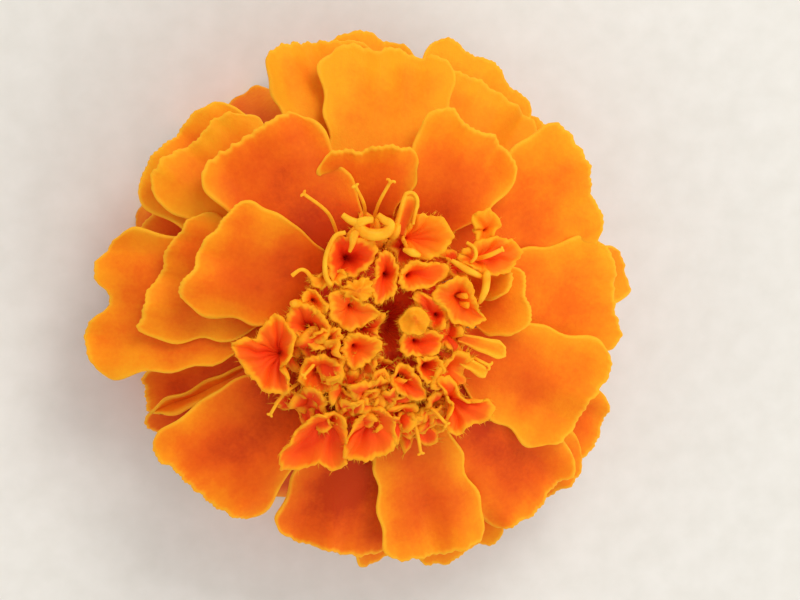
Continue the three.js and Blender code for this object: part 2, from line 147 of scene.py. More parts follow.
SKIRT_COUNT = 9
SKIRT_PETAL = dict(reach=19.4, rise=0, wide=9.6, fall=0.7, tip=-78, warm=0.6)

CURVE_HANDLE = 0.42  # the handles of a petal's midline, as a share of its length
CLAW_END = 0.08  # the blade starts to widen here, and is nearly full at BLADE_FROM
BLADE_FROM = 0.45
FLARE = 0.4  # share of the widening that goes on to the margin
WAVE_LENGTH = 7.0
PETAL_THICKNESS = 0.24
PETAL_RIM = 0.32  # the slightly rolled edge
CORNER_RADIUS = 1.5
SIDE_WAVE = 0.3  # how far the sides stray from a straight line
CORNER_FLARE = 0.35  # how far the corners stand out sideways
SCALLOPS = ((5.2, 0.24), (1.6, 0.11), (0.55, 0.05))  # wave length and height along the margin
SIDE_WAVE_LENGTH = 4.5
CORNER_ZONE = (0.9, 0.14)  # where along the petal the corners stand out, and over how much of it
PETAL_CROWDING = 1.6  # how much the rows crowd towards the margin
FRILL, FRILL_LENGTH = 0.1, 2.3  # height and length of the fine waves up and down the margin
EDGE_WAVE, EDGE_WAVE_LENGTH = 0.3, 5.0  # and of the slower ones along the sides
EDGE_ROLL = 0.16  # the edge is thickest this far in
FLUSH_AT, FLUSH_LENGTH, FLUSH_WIDTH = 0.6, 0.3, 0.62  # the red patch, as shares of the petal
RED_FADE = 1.2  # the red grows over this distance from the edge

# ---------------------------------------------------------------- open florets of the crest
# Florets that open wide. mouth: points of the margin, counter-clockwise as bearing, distance and
# height; throat: where the tube opens; foot: how far above the throat its closed end lies, which
# turns the floret into a hood where it isn't below; rolled: thickness of the margin; fringe: hairs
# along it; ragged: depth of its teeth; warm: how red the floret is.
OPEN_FLORETS = {
    "left_trumpet": dict(throat=(202, 9.7, 21.1), fringe=60, warm=0.75, mouth=[
        (180, 9.5, 22.6), (186, 10.9, 22.5), (190, 11.3, 22.1), (189.5, 12.6, 22.3), (192, 13.7, 22.3),
        (199, 13.3, 21.9), (207, 12.8, 21.7), (214, 12.4, 21.7), (219.5, 11.3, 22.0), (216, 10.2, 22.6),
        (208, 10.2, 22.7), (203, 8.9, 23.2), (194, 8.2, 23.4), (185, 8.5, 23.0)]),
    "left_pocket": dict(throat=(191, 6.6, 21.5), fringe=110, warm=0.9, mouth=[
        (172, 7.6, 22.9), (178, 8.4, 22.7), (186, 8.7, 22.5), (194, 8.1, 22.5), (203, 7.4, 22.7),
        (205, 6.0, 23.2), (195, 5.0, 23.7), (182, 5.2, 23.8), (174, 6.3, 23.4)]),
    "upper_pocket": dict(throat=(123, 5.8, 21.7), rolled=0.18, fringe=70, warm=1.2, mouth=[
        (123, 8.2, 24.6), (132, 7.6, 24.4), (142, 6.5, 24.0), (148, 5.4, 23.7), (137, 4.7, 23.7),
        (122, 4.2, 23.9), (103, 4.8, 24.3), (98, 6.2, 24.6), (110, 7.3, 24.8)]),
    "middle_beak": dict(throat=(168, 3.0, 22.9), fringe=160, ragged=0.12, warm=0.5, mouth=[
        (185, 4.7, 23.7), (202, 3.7, 23.9), (209, 1.8, 24.2), (179, 0.6, 24.5), (150, 2.3, 24.5),
        (148, 3.4, 24.3), (155, 4.9, 24.0), (166, 5.2, 23.8)]),
    "upper_fold": dict(throat=(55, 4.1, 22.9), fringe=80, warm=0.6, mouth=[
        (72, 3.7, 24.6), (56, 2.6, 24.5), (38, 3.3, 24.4), (31, 4.6, 24.2), (29, 6.0, 24.0),
        (36, 7.0, 23.9), (48, 6.1, 24.3), (64, 5.1, 24.6)]),
    "right_star": dict(throat=(10, 7.0, 22.3), fringe=30, warm=0.5, mouth=[
        (17, 4.4, 23.9), (5, 5.2, 23.7), (355, 5.9, 23.5), (350, 6.6, 23.3), (350, 8.0, 22.9),
        (355, 9.5, 22.3), (1, 8.7, 23.1), (8, 8.3, 23.7), (17, 8.2, 24.1), (25, 7.8, 24.3),
        (27, 6.2, 24.3), (24, 5.0, 24.1)]),
    "round_spoon": dict(throat=(71, 6.9, 22.5), fringe=40, warm=0.1, mouth=[
        (75, 7.4, 23.0), (70, 6.1, 23.3), (58, 5.7, 23.8), (48, 6.6, 24.1), (45.5, 8.3, 24.3),
        (51, 9.4, 24.3), (60, 9.8, 24.1), (70, 9.2, 23.6)]),
    "right_trumpet": dict(throat=(27, 9.9, 21.9), fringe=16, warm=0.35, mouth=[
        (37, 8.3, 23.2), (32, 8.2, 23.4), (24, 9.1, 23.3), (18, 10.2, 22.9), (16, 11.6, 22.4),
        (18, 13.1, 22.1), (23, 13.8, 22.1), (27, 13.6, 22.3), (31, 12.6, 22.6), (35, 11.0, 23.0),
        (37, 9.6, 23.2)]),
    "right_loop": dict(throat=(37, 11.9, 22.0), fringe=12, warm=0.1, mouth=[
        (42, 11.0, 22.7), (38, 10.8, 22.6), (34, 10.7, 22.6), (32, 11.6, 22.4), (34, 12.6, 22.4),
        (37, 13.3, 22.6), (42, 13.3, 22.8), (45, 12.6, 23.0), (46, 11.7, 22.9)]),
    "right_hood": dict(throat=(309, 10.2, 21.4), fringe=50, warm=0.7, mouth=[
        (307, 9.6, 22.9), (307, 10.9, 22.5), (301, 11.6, 22.1), (300, 12.4, 21.8), (303, 13.7, 21.4),
        (308, 13.3, 21.5), (314, 14.1, 21.5), (320, 13.6, 21.8), (320, 12.6, 22.0),
        (316, 11.9, 22.3), (313, 10.4, 22.8), (316, 8.8, 23.2), (315, 8.0, 23.4), (309, 7.7, 23.4)]),
    "low_spoon": dict(throat=(267, 9.4, 20.7), fringe=36, warm=0.7, mouth=[
        (258, 9.4, 22.2), (256, 11.4, 21.4), (256, 13.3, 20.6), (263, 13.7, 20.3), (269, 13.3, 20.6),
        (276, 12.8, 20.8), (278, 11.6, 21.3), (277, 9.8, 22.0), (268, 8.4, 22.7)]),
    "low_skirt": dict(throat=(246, 10.5, 20.5), fringe=40, warm=0.65, mouth=[
        (236, 11.4, 21.5), (235.5, 13.6, 20.4), (236.5, 15.6, 19.6), (239, 16.7, 19.2),
        (245, 15.8, 19.0), (249, 14.8, 19.7), (254, 15.1, 19.4), (259, 14.0, 19.8),
        (257, 12.3, 20.7), (253, 10.4, 21.8), (244, 9.8, 22.2)]),
    "low_cup": dict(throat=(223, 7.5, 21.1), fringe=90, warm=0.75, mouth=[
        (212, 6.6, 23.3), (211, 8.2, 22.7), (218, 9.3, 22.1), (226, 9.6, 21.9), (233, 8.9, 22.3),
        (238, 7.5, 22.9), (232, 6.3, 23.4), (222, 5.9, 23.6)]),
    "front_pocket": dict(throat=(230, 3.8, 22.7), fringe=150, ragged=0.14, warm=0.6, mouth=[
        (208, 4.1, 24.0), (221, 5.0, 23.8), (237, 5.7, 23.5), (249, 4.8, 23.8), (258, 3.7, 24.2),
        (262, 2.6, 24.4), (228, 2.5, 24.5), (209, 3.2, 24.2)]),
    "hood_pocket": dict(throat=(318, 3.9, 22.7), fringe=130, ragged=0.12, warm=0.95, mouth=[
        (306, 2.4, 24.0), (294, 3.7, 24.1), (306, 4.8, 24.0), (319, 5.8, 23.8), (330, 6.0, 23.7),
        (340, 5.2, 23.8), (339, 3.8, 24.0), (330, 2.7, 24.1)]),
    "centre_hood": dict(throat=(354, 2.4, 25.1), foot=0.1, fringe=360, ragged=0.08, warm=-0.3, mouth=[
        (14, 2.4, 24.6), (2, 1.6, 24.6), (322, 1.6, 24.4), (315, 2.5, 24.2), (325, 3.4, 24.1),
        (337, 4.0, 24.2), (353, 3.9, 24.4), (7, 3.2, 24.6)]),
    "red_lining": dict(throat=(357, 4.9, 22.4), rolled=0.18, fringe=40, warm=1.1, mouth=[
        (30, 2.8, 23.9), (359, 3.1, 23.8), (344, 4.0, 23.4), (342, 5.3, 23.3), (352, 5.9, 23.3),
        (2, 5.7, 23.5), (14, 4.8, 23.8), (30, 3.8, 24.0)]),
    "upper_gully": dict(throat=(85, 3.4, 22.5), fringe=160, ragged=0.14, warm=0.9, mouth=[
        (108, 3.4, 24.2), (122, 2.3, 24.3), (134, 1.2, 24.4), (71, 1.8, 24.5), (71, 3.2, 24.4),
        (79, 4.8, 24.4), (89, 5.7, 24.3), (98, 5.0, 24.2)]),
    "left_shelf": dict(throat=(201, 5.6, 22.2), fringe=120, ragged=0.16, warm=0.8, mouth=[
        (196, 4.6, 23.9), (193, 6.0, 23.4), (200, 7.3, 22.9), (208, 6.6, 23.2), (211, 5.2, 23.7),
        (204, 4.2, 24.1)]),
    "upper_rag": dict(throat=(142, 6.0, 22.6), fringe=200, ragged=0.24, warm=-0.1, mouth=[
        (153, 7.2, 23.3), (158, 6.6, 23.2), (153, 5.4, 23.6), (143, 4.8, 23.9), (134, 4.9, 24.0),
        (137, 5.6, 23.8), (144, 6.4, 23.6)]),
    "upper_hood": dict(throat=(137, 3.3, 24.8), foot=0.1, fringe=180, ragged=0.2, warm=-0.1, mouth=[
        (148, 4.5, 24.0), (154, 3.7, 24.2), (148, 2.5, 24.5), (127, 2.0, 24.6), (115, 3.1, 24.4),
        (126, 4.0, 24.2)]),
    "mid_pocket": dict(throat=(287, 6.1, 21.8), fringe=120, ragged=0.12, warm=0.9, mouth=[
        (283, 4.6, 24.0), (276, 5.9, 23.7), (281, 7.2, 23.3), (288, 8.2, 22.9), (296, 8.8, 22.7),
        (299, 7.4, 23.2), (297, 6.2, 23.6), (296, 5.3, 23.9)]),
    "fork_pocket": dict(throat=(310, 6.2, 21.9), fringe=90, ragged=0.12, warm=0.85, mouth=[
        (305, 5.0, 23.9), (300, 6.0, 23.6), (301, 7.1, 23.4), (308, 7.7, 23.3), (316, 7.5, 23.4),
        (321, 6.5, 23.7), (316, 5.5, 23.9)]),
    "left_loop": dict(throat=(170, 6.1, 22.2), fringe=60, warm=0.35, mouth=[
        (168, 7.6, 23.0), (177, 6.5, 23.1), (180, 5.6, 23.4), (170, 5.2, 23.6), (161, 6.6, 23.3)]),
}
FLORET_GRID = (20, 76)  # rows from the tube to the margin, and columns round it
THROAT_RADIUS = 0.3
TUBE_RADIUS = 0.1  # at the closed end of the tube
TUBE_DEPTH = 2.2
FLORET_THICKNESS = 0.17
FLORET_RIM = 0.3  # the thick, rolled margin
CRUMPLE = 0.1  # how far folds move the florets
MARGIN_WAVE, MARGIN_WAVE_LENGTH = 0.3, 2.2
TOOTH_LENGTHS = (0.8, 0.9)  # wave lengths of the teeth, outwards and upwards
RAGGED = 0.1  # usual depth of the teeth
MARGIN_ROLL = 0.15  # the margin is thickest this far in
MARGIN_DROOP = 0.16
FRINGE_LENGTH = 0.42
FRINGE_WIDTH = 0.08
HAIR_ROOT = 0.08  # how deep a hair stands in the margin
HAIR_STRAY, HAIR_LIFT = 1.1, 0.35  # how far hairs stray from straight out, and how much they rise

# The small florets between them. A range is its least value and how much more it can be.
FLORET_SHAPES = 9
SMALL_GRID = (11, 34)
SMALL_RIM = 0.25
SMALL_HAIRS = 120
SMALL_RAGGED = 0.14
SMALL_WARMTH = (0.5, 0.8)
SMALL_LOBES = (3, 3)
LOBE_REACH = (1.4, 1.0)
LOBE_HEIGHT = (1.9, 0.9)
VALLEY_REACH = (1.1, 0.25)
VALLEY_HEIGHT = (1.8, 0.4)
SMALL_THROAT = 1.4
SMALL_FOOT = -0.5
SMALL_SIZES = (0.85, 1.25)  # smallest and largest, as shares of their shapes
CREST_COUNT = 250
FLORET_TALL = 2.0
CREST_CENTRE = (0.5, -1.6, 0)  # the crest leans a little off the head's axis
CREST_OUTER = 8.6
CREST_FOOT = 21.2
CREST_DROP = 3.2
CREST_SPREAD = 0.9
CREST_JITTER = 0.3
CREST_WOBBLE = 0.45  # how far the florets lean out of line
BEND_SCALE, BEND = 420.0, 0.9  # folds to the metre that bend them all, and how far
COVER_BELOW, COVER_ABOVE = 6, 15  # rays that look for a cover start this far below, and go this far
# Places that stay free of them: bearing, distance and radius. The first is the open middle.
BARE = [(340, 0.4, 3.1), (278, 2.5, 1.5), (112, 10.2, 3.0), (80, 10.0, 2.8), (150, 9.8, 2.8),
        (267, 10.4, 2.0), (246, 11.8, 2.2), (223, 7.5, 1.7), (355, 10.0, 2.6), (45, 9.4, 1.8),
        (338, 9.2, 2.2), (313, 10.3, 1.9), (307, 12.3, 1.6)]

# ---------------------------------------------------------------- styles
# foot and tip: bearing, distance and height; arms: length of the two curled arms; bow: how far the
# middle stands aside; girth: radius, where it isn't the usual one
STYLES = [
    dict(foot=(101, 7.4, 20.6), tip=(104, 11.6, 25.0), arms=0.3, bow=0.4),
    dict(foot=(94, 7.4, 20.6), tip=(89, 11.6, 25.0), arms=0.4, bow=-0.4),
    dict(foot=(119, 7.2, 20.6), tip=(124, 12.8, 24.0), arms=0.3, bow=0.6),
    dict(foot=(222, 9.4, 20.4), tip=(223, 13.2, 20.6), arms=0.25, bow=0.5),
    dict(foot=(283, 8.4, 20.2), tip=(287, 13.4, 20.6), arms=0.3, bow=-0.4),
    dict(foot=(28, 9.5, 21.8), tip=(27, 11.9, 23.2), arms=0.2, girth=0.22),
    dict(foot=(297, 9.2, 20.6), tip=(300, 11.6, 22.4), arms=0.3),
    dict(foot=(215, 6.7, 21.0), tip=(217, 8.8, 23.1), arms=0.3),
    dict(foot=(333, 8.8, 20.6), tip=(333, 10.8, 22.4), arms=0.4),
]
STYLE_GIRTH = 0.16
STYLE_ARCH = 0.7  # how much a style's middle rises
# Points of an arm, in its own length: ahead, aside, and its girth as a share of the style's
STYLE_ARM = ((0.5, 0.25, 0.85), (0.75, 0.7, 0.75), (0.55, 1.05, 0.6))
# Thick and hooked styles and the rolled edges of florets, as bearing, distance, height and girth
STRANDS = {
    "curl": [(99, 8.5, 25.3, 0.26), (103.5, 8.6, 25.2, 0.36), (108, 8.4, 25.0, 0.46),
             (105.5, 7.6, 24.9, 0.52), (98.5, 7.15, 24.9, 0.54), (90.5, 7.3, 25.0, 0.5),
             (88.5, 8.0, 25.1, 0.44), (92.3, 8.4, 25.2, 0.36), (95.8, 8.9, 25.2, 0.26)],
    "curl_tail": [(107, 8.4, 25.0, 0.4), (111.5, 9.0, 24.9, 0.34), (114, 9.7, 24.7, 0.24)],
    "curl_finger": [(110, 7.9, 25.0, 0.3), (113.4, 7.6, 25.0, 0.38), (116.5, 7.0, 24.9, 0.26),
                    (120.5, 6.5, 24.6, 0.15)],
    "pocket_edge": [(117, 8.2, 24.9, 0.2), (123, 8.4, 24.8, 0.2), (131, 7.9, 24.6, 0.2),
                    (139, 7.2, 24.3, 0.22), (147, 6.3, 24.0, 0.24), (151, 5.5, 23.7, 0.22)],
    "ear_edge": [(83, 7.1, 23.6, 0.24), (82, 8.5, 24.0, 0.22), (81, 10.3, 24.3, 0.18),
                 (80, 10.8, 24.4, 0.17), (77, 10.9, 24.4, 0.17), (74, 10.3, 24.3, 0.17),
                 (73, 9.0, 24.0, 0.16), (72, 8.3, 23.7, 0.16)],
    "fan_arch": [(39, 9.7, 23.2, 0.16), (35, 9.9, 23.6, 0.18), (31, 9.6, 23.7, 0.18),
                 (29, 9.0, 23.4, 0.15)],
    "hooked_style": [(155, 6.7, 22.6, 0.2), (153, 7.3, 23.3, 0.2), (151, 8.05, 23.9, 0.18),
                     (152, 8.6, 24.0, 0.17), (157, 9.0, 23.8, 0.2)],
    "left_knob": [(172, 7.2, 22.6, 0.25), (172.8, 8.0, 23.3, 0.4), (172.6, 8.4, 23.5, 0.22)],
    "ear_knob": [(83.4, 6.7, 23.4, 0.3), (83.4, 7.3, 24.3, 0.46), (82.6, 8.0, 24.7, 0.26)],
    "spoon_knob": [(74, 5.9, 24.2, 0.2), (67, 5.9, 24.7, 0.36), (60, 5.95, 24.5, 0.2)],
    "star_style_left": [(11, 7.0, 22.0, 0.18), (11, 7.4, 23.3, 0.3), (10.8, 7.6, 23.6, 0.28)],
    "star_style_right": [(6, 7.0, 22.0, 0.18), (4.4, 7.5, 23.2, 0.3), (4.0, 7.7, 23.4, 0.28)],
    "trumpet_edge": [(37, 7.6, 23.6, 0.2), (30, 8.05, 24.0, 0.3), (26, 8.4, 24.0, 0.32),
                     (22, 8.9, 23.9, 0.28), (19.5, 9.3, 23.6, 0.2)],
    "right_tongue": [(21, 9.9, 23.5, 0.24), (19, 9.7, 23.9, 0.38), (13, 9.3, 24.0, 0.36),
                     (8, 8.85, 23.9, 0.28), (5, 8.6, 23.6, 0.14)],
}

# ---------------------------------------------------------------- stem and cup
TUBES_BOTTOM = 6.8
TUBE_GIRTHS = (0.4, 0.5, 0.55, 0.6, 0.55, 0.35)  # from the receptacle to the petal's claw
TUBE_LEVELS = (10.0, 12.6)  # heights at which the tubes come up through the cup and leave it
TURNED_ROWS = 60
STEM_PROFILE = [(2.0, 0), (2.05, 1.2), (2.2, 2.4), (2.6, 3.6), (3.3, 5.0), (3.1, 5.8)]
STEM_TOP = 6.2
STEM_RIBS = 9
STEM_RIB = 0.07
CUP_PROFILE = [(2.6, 2.4), (3.3, 3.8), (4.2, 6.2), (4.9, 9.6), (5.3, 12.4)]
CUP_WALL = 0.7
CUP_RIB = 0.22
CUP_SEAM = 0.1  # depth of the groove between two bracts
CUP_STREAK, CUP_STREAKS = 0.02, 9  # height of the fine ribs, and how many there are on a bract
CUP_TEETH = 7
TOOTH_HEIGHT = 1.1
GLAND_APART = 0.9
GLAND_SIZE = 0.13
GLAND_DENSITY = 0.4  # tries to the square millimetre
CORE_PROFILE = [(2.4, 6.8), (2.4, 14.6), (6.0, 17.6), (6.7, 18.8), (6.5, 19.6), (5.4, 20.7), (4.0, 21.4),
                (2.4, 21.5), (1.6, 20.4), (0.8, 19.0)]
CORE_FLUTES = 34
CORE_FLUTE = 0.1
CORE_LEAN = 0.8  # how much of the crest's lean the core follows
LEAN_HEIGHTS = (15.0, 18.5)  # the lean starts at the first, and is whole from the second


def draws(seed):
    """Seeded draws between 0 and 1, the same as the part's."""
    state = seed
    while True:
        state = (state * 1664525 + 1013904223) % 2 ** 32
        yield state / 2 ** 32


# ---------------------------------------------------------------- meshes
def put_in_scene(name, data):
    """A new object at the origin that shows data."""
    thing = bpy.data.objects.new(name, data)
    bpy.context.scene.collection.objects.link(thing)
    return thing


def make_piece(name, material, points, faces, attributes=None, uv=None):
    """A mesh object at the origin from points in metres; attributes are floats per point."""
    mesh = bpy.data.meshes.new(name)
    mesh.from_pydata([tuple(p) for p in points], [], faces)
    for key, values in (attributes or {}).items():
        layer = mesh.attributes.new(key, "FLOAT", "POINT")
        layer.data.foreach_set("value", np.asarray(values, np.float32))
    if uv is not None:
        corners = np.zeros(len(mesh.loops), np.int32)
        mesh.loops.foreach_get("vertex_index", corners)
        mesh.uv_layers.new(name="UVMap").data.foreach_set("uv", np.asarray(uv)[corners].ravel())
    mesh.shade_smooth()
    mesh.materials.append(material)
    return put_in_scene(name, mesh)


def settle(piece, node):
    """Makes the finished piece move with the root, and hides the part's node that it stands for."""
    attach(piece, "root")
    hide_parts(node)


def in_frame(points):
    """Points in millimetres about the head's axis, as metres in the frame and within its box."""
    low, high = np.array(CAD_BOX[0]), np.array(CAD_BOX[1])
    return np.clip((points + HEAD_AXIS) * MM, low, high)


def drawn(span, draw):
    """A value drawn from a range of its least value and how much more it can be."""
    return span[0] + span[1] * next(draw)


def polar(places):
    """Points in millimetres from bearing, distance and height."""
    turn, reach, height = np.radians([p[0] for p in places]), *np.array(places, float).T[1:3]
    return np.stack([reach * np.cos(turn), reach * np.sin(turn), height], axis=-1)


def shell_faces(rows, columns, closed, capped=False):
    """Quads of a thin sheet: upper grid, lower grid, and the edge that joins them. A capped sheet
    has two more points, which close its two faces where the rows start."""
    count = rows * columns
    last = columns if closed else columns - 1
    faces = []
    for row in range(rows - 1):
        for column in range(last):
            a = row * columns + column
            b = row * columns + (column + 1) % columns
            c, d = a + columns, b + columns
            faces.append((a, c, d, b))
            faces.append((count + a, count + b, count + d, count + c))
    if closed:
        for column in range(columns):
            a, b = column, (column + 1) % columns
            if capped:
                faces += [(a, b, 2 * count), (count + b, count + a, 2 * count + 1)]
            else:
                faces.append((a, b, count + b, count + a))
            a, b = a + count - columns, b + count - columns
            faces.append((b, a, count + a, count + b))
        return faces
    rim = [row * columns for row in range(rows - 1)]
    rim += [(rows - 1) * columns + column for column in range(columns - 1)]
    rim += [row * columns + columns - 1 for row in range(rows - 1, 0, -1)]
    rim += list(range(columns - 1, 0, -1))
    for p, q in zip(rim, rim[1:] + rim[:1]):
        faces.append((p, count + p, count + q, q))
    return faces


def sheet_normals(points, closed=False):
    """Unit normals of a grid of points, rows running outwards and columns to the left."""
    out = np.gradient(points, axis=0)
    left = np.gradient(points, axis=1)
    if closed:
        left = np.roll(points, -1, axis=1) - np.roll(points, 1, axis=1)
    normal = np.cross(out, left)
    return normal / np.maximum(np.linalg.norm(normal, axis=2, keepdims=True), 1e-9)


def travelled(points):
    """Distance along a line of points, at each of them."""
    return np.concatenate([[0], np.cumsum(np.linalg.norm(np.diff(points, axis=0), axis=1))])


def unit(vector):
    """The same direction with length 1."""
    return vector / np.linalg.norm(vector)


def ripple(x, length, draw, octaves=3):
    """An irregular wave over distance x, of about the given wave length and height 1."""
    total = np.zeros_like(x)
    for octave in range(octaves):
        stretch = 0.7 + 0.6 * next(draw)
        total += np.sin(x * TURN / (length * stretch) + next(draw) * TURN) / (octave + 1)
    return total / 1.6


def closed_curve(points, count):
    """A smooth closed curve through points, as count points evenly along it."""
    steps = np.linspace(0, 1, 12, endpoint=False)[:, None]
    before, after, beyond = (np.roll(points, shift, axis=0) for shift in (1, -1, -2))
    curve = []
    for a, b, c, d in zip(before, points, after, beyond):
        curve.append(b + 0.5 * steps * (c - a + steps * (2 * a - 5 * b + 4 * c - d
                                                         + steps * (3 * (b - c) + d - a))))
    curve = np.concatenate(curve + [points[:1]])
    along = travelled(curve)
    even = np.linspace(0, along[-1], count, endpoint=False)
    return np.stack([np.interp(even, along, curve[:, axis]) for axis in range(3)], axis=-1)


def midline(petal, end):
    """Distance, height and slope direction along the petal's midline, a cubic Bezier curve."""
    start = np.array([petal["start"], petal["base"] + petal.get("level", 0)])
    stop = np.array([petal["reach"], petal["rise"]])
    handle = np.linalg.norm(stop - start) * CURVE_HANDLE
    climb, tip = math.radians(petal["climb"]), math.radians(petal["tip"])
    leave = start + handle * np.array([math.cos(climb), math.sin(climb)])
    arrive = stop - handle * np.array([math.cos(tip), math.sin(tip)])
    t = end[..., None]
    place = ((1 - t) ** 3 * start + 3 * (1 - t) ** 2 * t * leave
             + 3 * (1 - t) * t ** 2 * arrive + t ** 3 * stop)
    slope = ((1 - t) ** 2 * (leave - start) + 2 * (1 - t) * t * (arrive - leave)
             + t ** 2 * (stop - arrive))
    slope /= np.linalg.norm(slope, axis=-1, keepdims=True)
    return place, slope


def smooth_step(x, low, high):
    """Goes smoothly from 0 at low to 1 at high."""
    share = np.clip((x - low) / (high - low), 0, 1)
    return share ** 2 * (3 - 2 * share)


def round_corners(across, along, half, length):
    """Turns the square end of a grid round; gives the grid and the distance to its outline."""
    radius = min(CORNER_RADIUS, half * 0.6)
    share = np.array([radius / half, radius / length])[:, None, None]
    past = np.clip((np.array([np.abs(across), along]) - 1) / share + 1, 0, 1)
    moved = share * past * (np.sqrt(1 - past[::-1] ** 2 / 2) - 1)
    across, along = across + np.sign(across) * moved[0], along + moved[1]
    inset = radius - np.array([(1 - np.abs(across)) * half, (1 - along) * length])
    rim = radius - np.hypot(*np.maximum(inset, 0)) - np.minimum(inset.max(axis=0), 0)
    return across, along, np.maximum(rim, 0)


def petal_sheet(petal, rows, columns, draw):
    """One petal: points of both faces in millimetres, and what its material reads."""
    along = 1 - (1 - np.linspace(0, 1, rows)) ** PETAL_CROWDING
    along, across = np.meshgrid(along, np.linspace(-1, 1, columns), indexing="ij")
    length = petal["reach"] - petal["start"]
    across, along, rim = round_corners(across, along, petal["wide"] / 2, length)
    side = across * petal["wide"] / 2
    fall = petal["fall"] * across ** 4 + petal.get("notch", 0) * np.exp(-(across * 4) ** 2)
    reach = petal.get("slant", 0) * across - fall
    for wave_length, height in SCALLOPS:
        reach = reach + height * ripple(side, wave_length, draw, 2)
    end = along * (1 + reach / length)
    middle, slope = midline(petal, end)
    spread = (1 - FLARE) * smooth_step(end, CLAW_END, BLADE_FROM) + FLARE * end
    half = petal["wide"] / 2 * (petal["claw"] + (1 - petal["claw"]) * spread)
    stray = [ripple(end * length, SIDE_WAVE_LENGTH, draw, 2) for _ in range(2)]
    stray = np.where(across > 0, stray[0], stray[1]) * SIDE_WAVE * smooth_step(along, 0.2, 0.6)
    flared = CORNER_FLARE * np.exp(-((along - CORNER_ZONE[0]) / CORNER_ZONE[1]) ** 2)
    narrow = np.clip(petal["wide"] / 9, 0.2, 1)
    aside = half * across + (stray + flared) * narrow * across * np.abs(across) ** 2
    turns = side * TURN / WAVE_LENGTH
    wave = np.sin(turns + petal["phase"]) + 0.5 * np.sin(turns * 1.7 + petal["phase"] * 2)
    frill = FRILL * ripple(side, FRILL_LENGTH, draw) * along ** 10
    side_wave = EDGE_WAVE * ripple(end * length, EDGE_WAVE_LENGTH, draw) * np.abs(across) ** 6 * spread
    lift = petal["ruffle"] * along ** 3 * wave + frill + side_wave
    lift = lift + (petal.get("cup", 0) * across ** 2 + petal.get("bank", 0) * across) * along
    surface = np.stack([middle[..., 0] - slope[..., 1] * lift, aside,
                        middle[..., 1] + slope[..., 0] * lift], axis=-1)
    rolled = np.exp(-((rim - EDGE_ROLL) / EDGE_ROLL) ** 2)
    thick = PETAL_THICKNESS + (PETAL_RIM - PETAL_THICKNESS) * rolled
    thick = thick * np.clip(0.35 + rim / 0.2, 0, 1)
    normal = sheet_normals(surface)
    flush = np.exp(-((along - FLUSH_AT) / FLUSH_LENGTH) ** 2 - (across / FLUSH_WIDTH) ** 2)
    # warm is partly painted shade, so petals that lean away from the key light come out redder and
    # darker.
    red = petal["warm"] * (0.75 + 0.5 * flush) - 0.4 * np.exp(-rim / RED_FADE)
    red = red + 0.4 * (1 - smooth_step(along, 0.1, 0.6))
    angle = math.radians(petal["turn"])
    spin = np.array([[math.cos(angle), -math.sin(angle), 0], [math.sin(angle), math.cos(angle), 0],
                     [0, 0, 1]])
    faces = [surface + normal * thick[..., None] * side_of / 2 for side_of in (1, -1)]
    uv = np.stack([aside, end * length], axis=-1).reshape(-1, 2)
    return {
        "points": np.concatenate([face.reshape(-1, 3) for face in faces]) @ spin.T,
        "faces": shell_faces(rows, columns, False),
        "rim": np.tile(rim.ravel(), 2),
        "redness": np.tile(red.ravel(), 2),
        "uv": np.tile(uv + petal["turn"], (2, 1)),
    }


def join_sheets(sheets):
    """Points, faces, attributes and UV places of several sheets as those of one mesh."""
    faces, offset = [], 0
    for sheet in sheets:
        faces += [tuple(index + offset for index in face) for face in sheet["faces"]]
        offset += len(sheet["points"])
    grids = {key: np.concatenate([sheet[key] for sheet in sheets])
             for key in sheets[0] if key != "faces"}
    return grids.pop("points"), faces, grids, grids.pop("uv", None)


def petal_layer(name, petals, root, ruffle, grid, seed, material):
    """A whorl of petals as one piece, with the same waves as the part's."""
    draw = draws(seed)
    phases = [next(draw) * TURN for _ in petals]
    fine = draws(seed + 100)
    sheets = [petal_sheet({**root, **petal, "ruffle": ruffle, "phase": phase}, *grid, fine)
              for petal, phase in zip(petals, phases)]
    points, *rest = join_sheets(sheets)
    piece = make_piece(name, material, in_frame(points), *rest)
    settle(piece, "ray_florets")


def skirt_petals():
    """The lowest petals, evenly round the head, turned down until their tips touch the surface."""
    draw = draws(SEED)
    petals = []
    for i in range(SKIRT_COUNT):
        turn = 360 / SKIRT_COUNT * (i + 0.3 * next(draw))
        petals.append({**SKIRT_PETAL, "turn": turn, "reach": SKIRT_PETAL["reach"] + next(draw)})
    return petals


# Whorl by whorl: its petals, how they leave the head, how deep they wave, how many rows and columns
# of points they have, and how far from the axis their tubes stand in the cup
WHORLS = {
    "skirt_petals": (skirt_petals(), SKIRT_ROOT, 0.25, (26, 40), 4.5),
    "lower_petals": (LOWER_PETALS, LOWER_ROOT, 0.4, (28, 92), 4.0),
    "outer_petals": (OUTER_PETALS, OUTER_ROOT, 0.4, (30, 104), 3.6),
    "inner_petals": (INNER_PETALS, INNER_ROOT, 0.35, (32, 104), 3.1),
    "rim_florets": (RIM_FLORETS, INNER_ROOT, 0.15, (30, 50), 3.1),
}


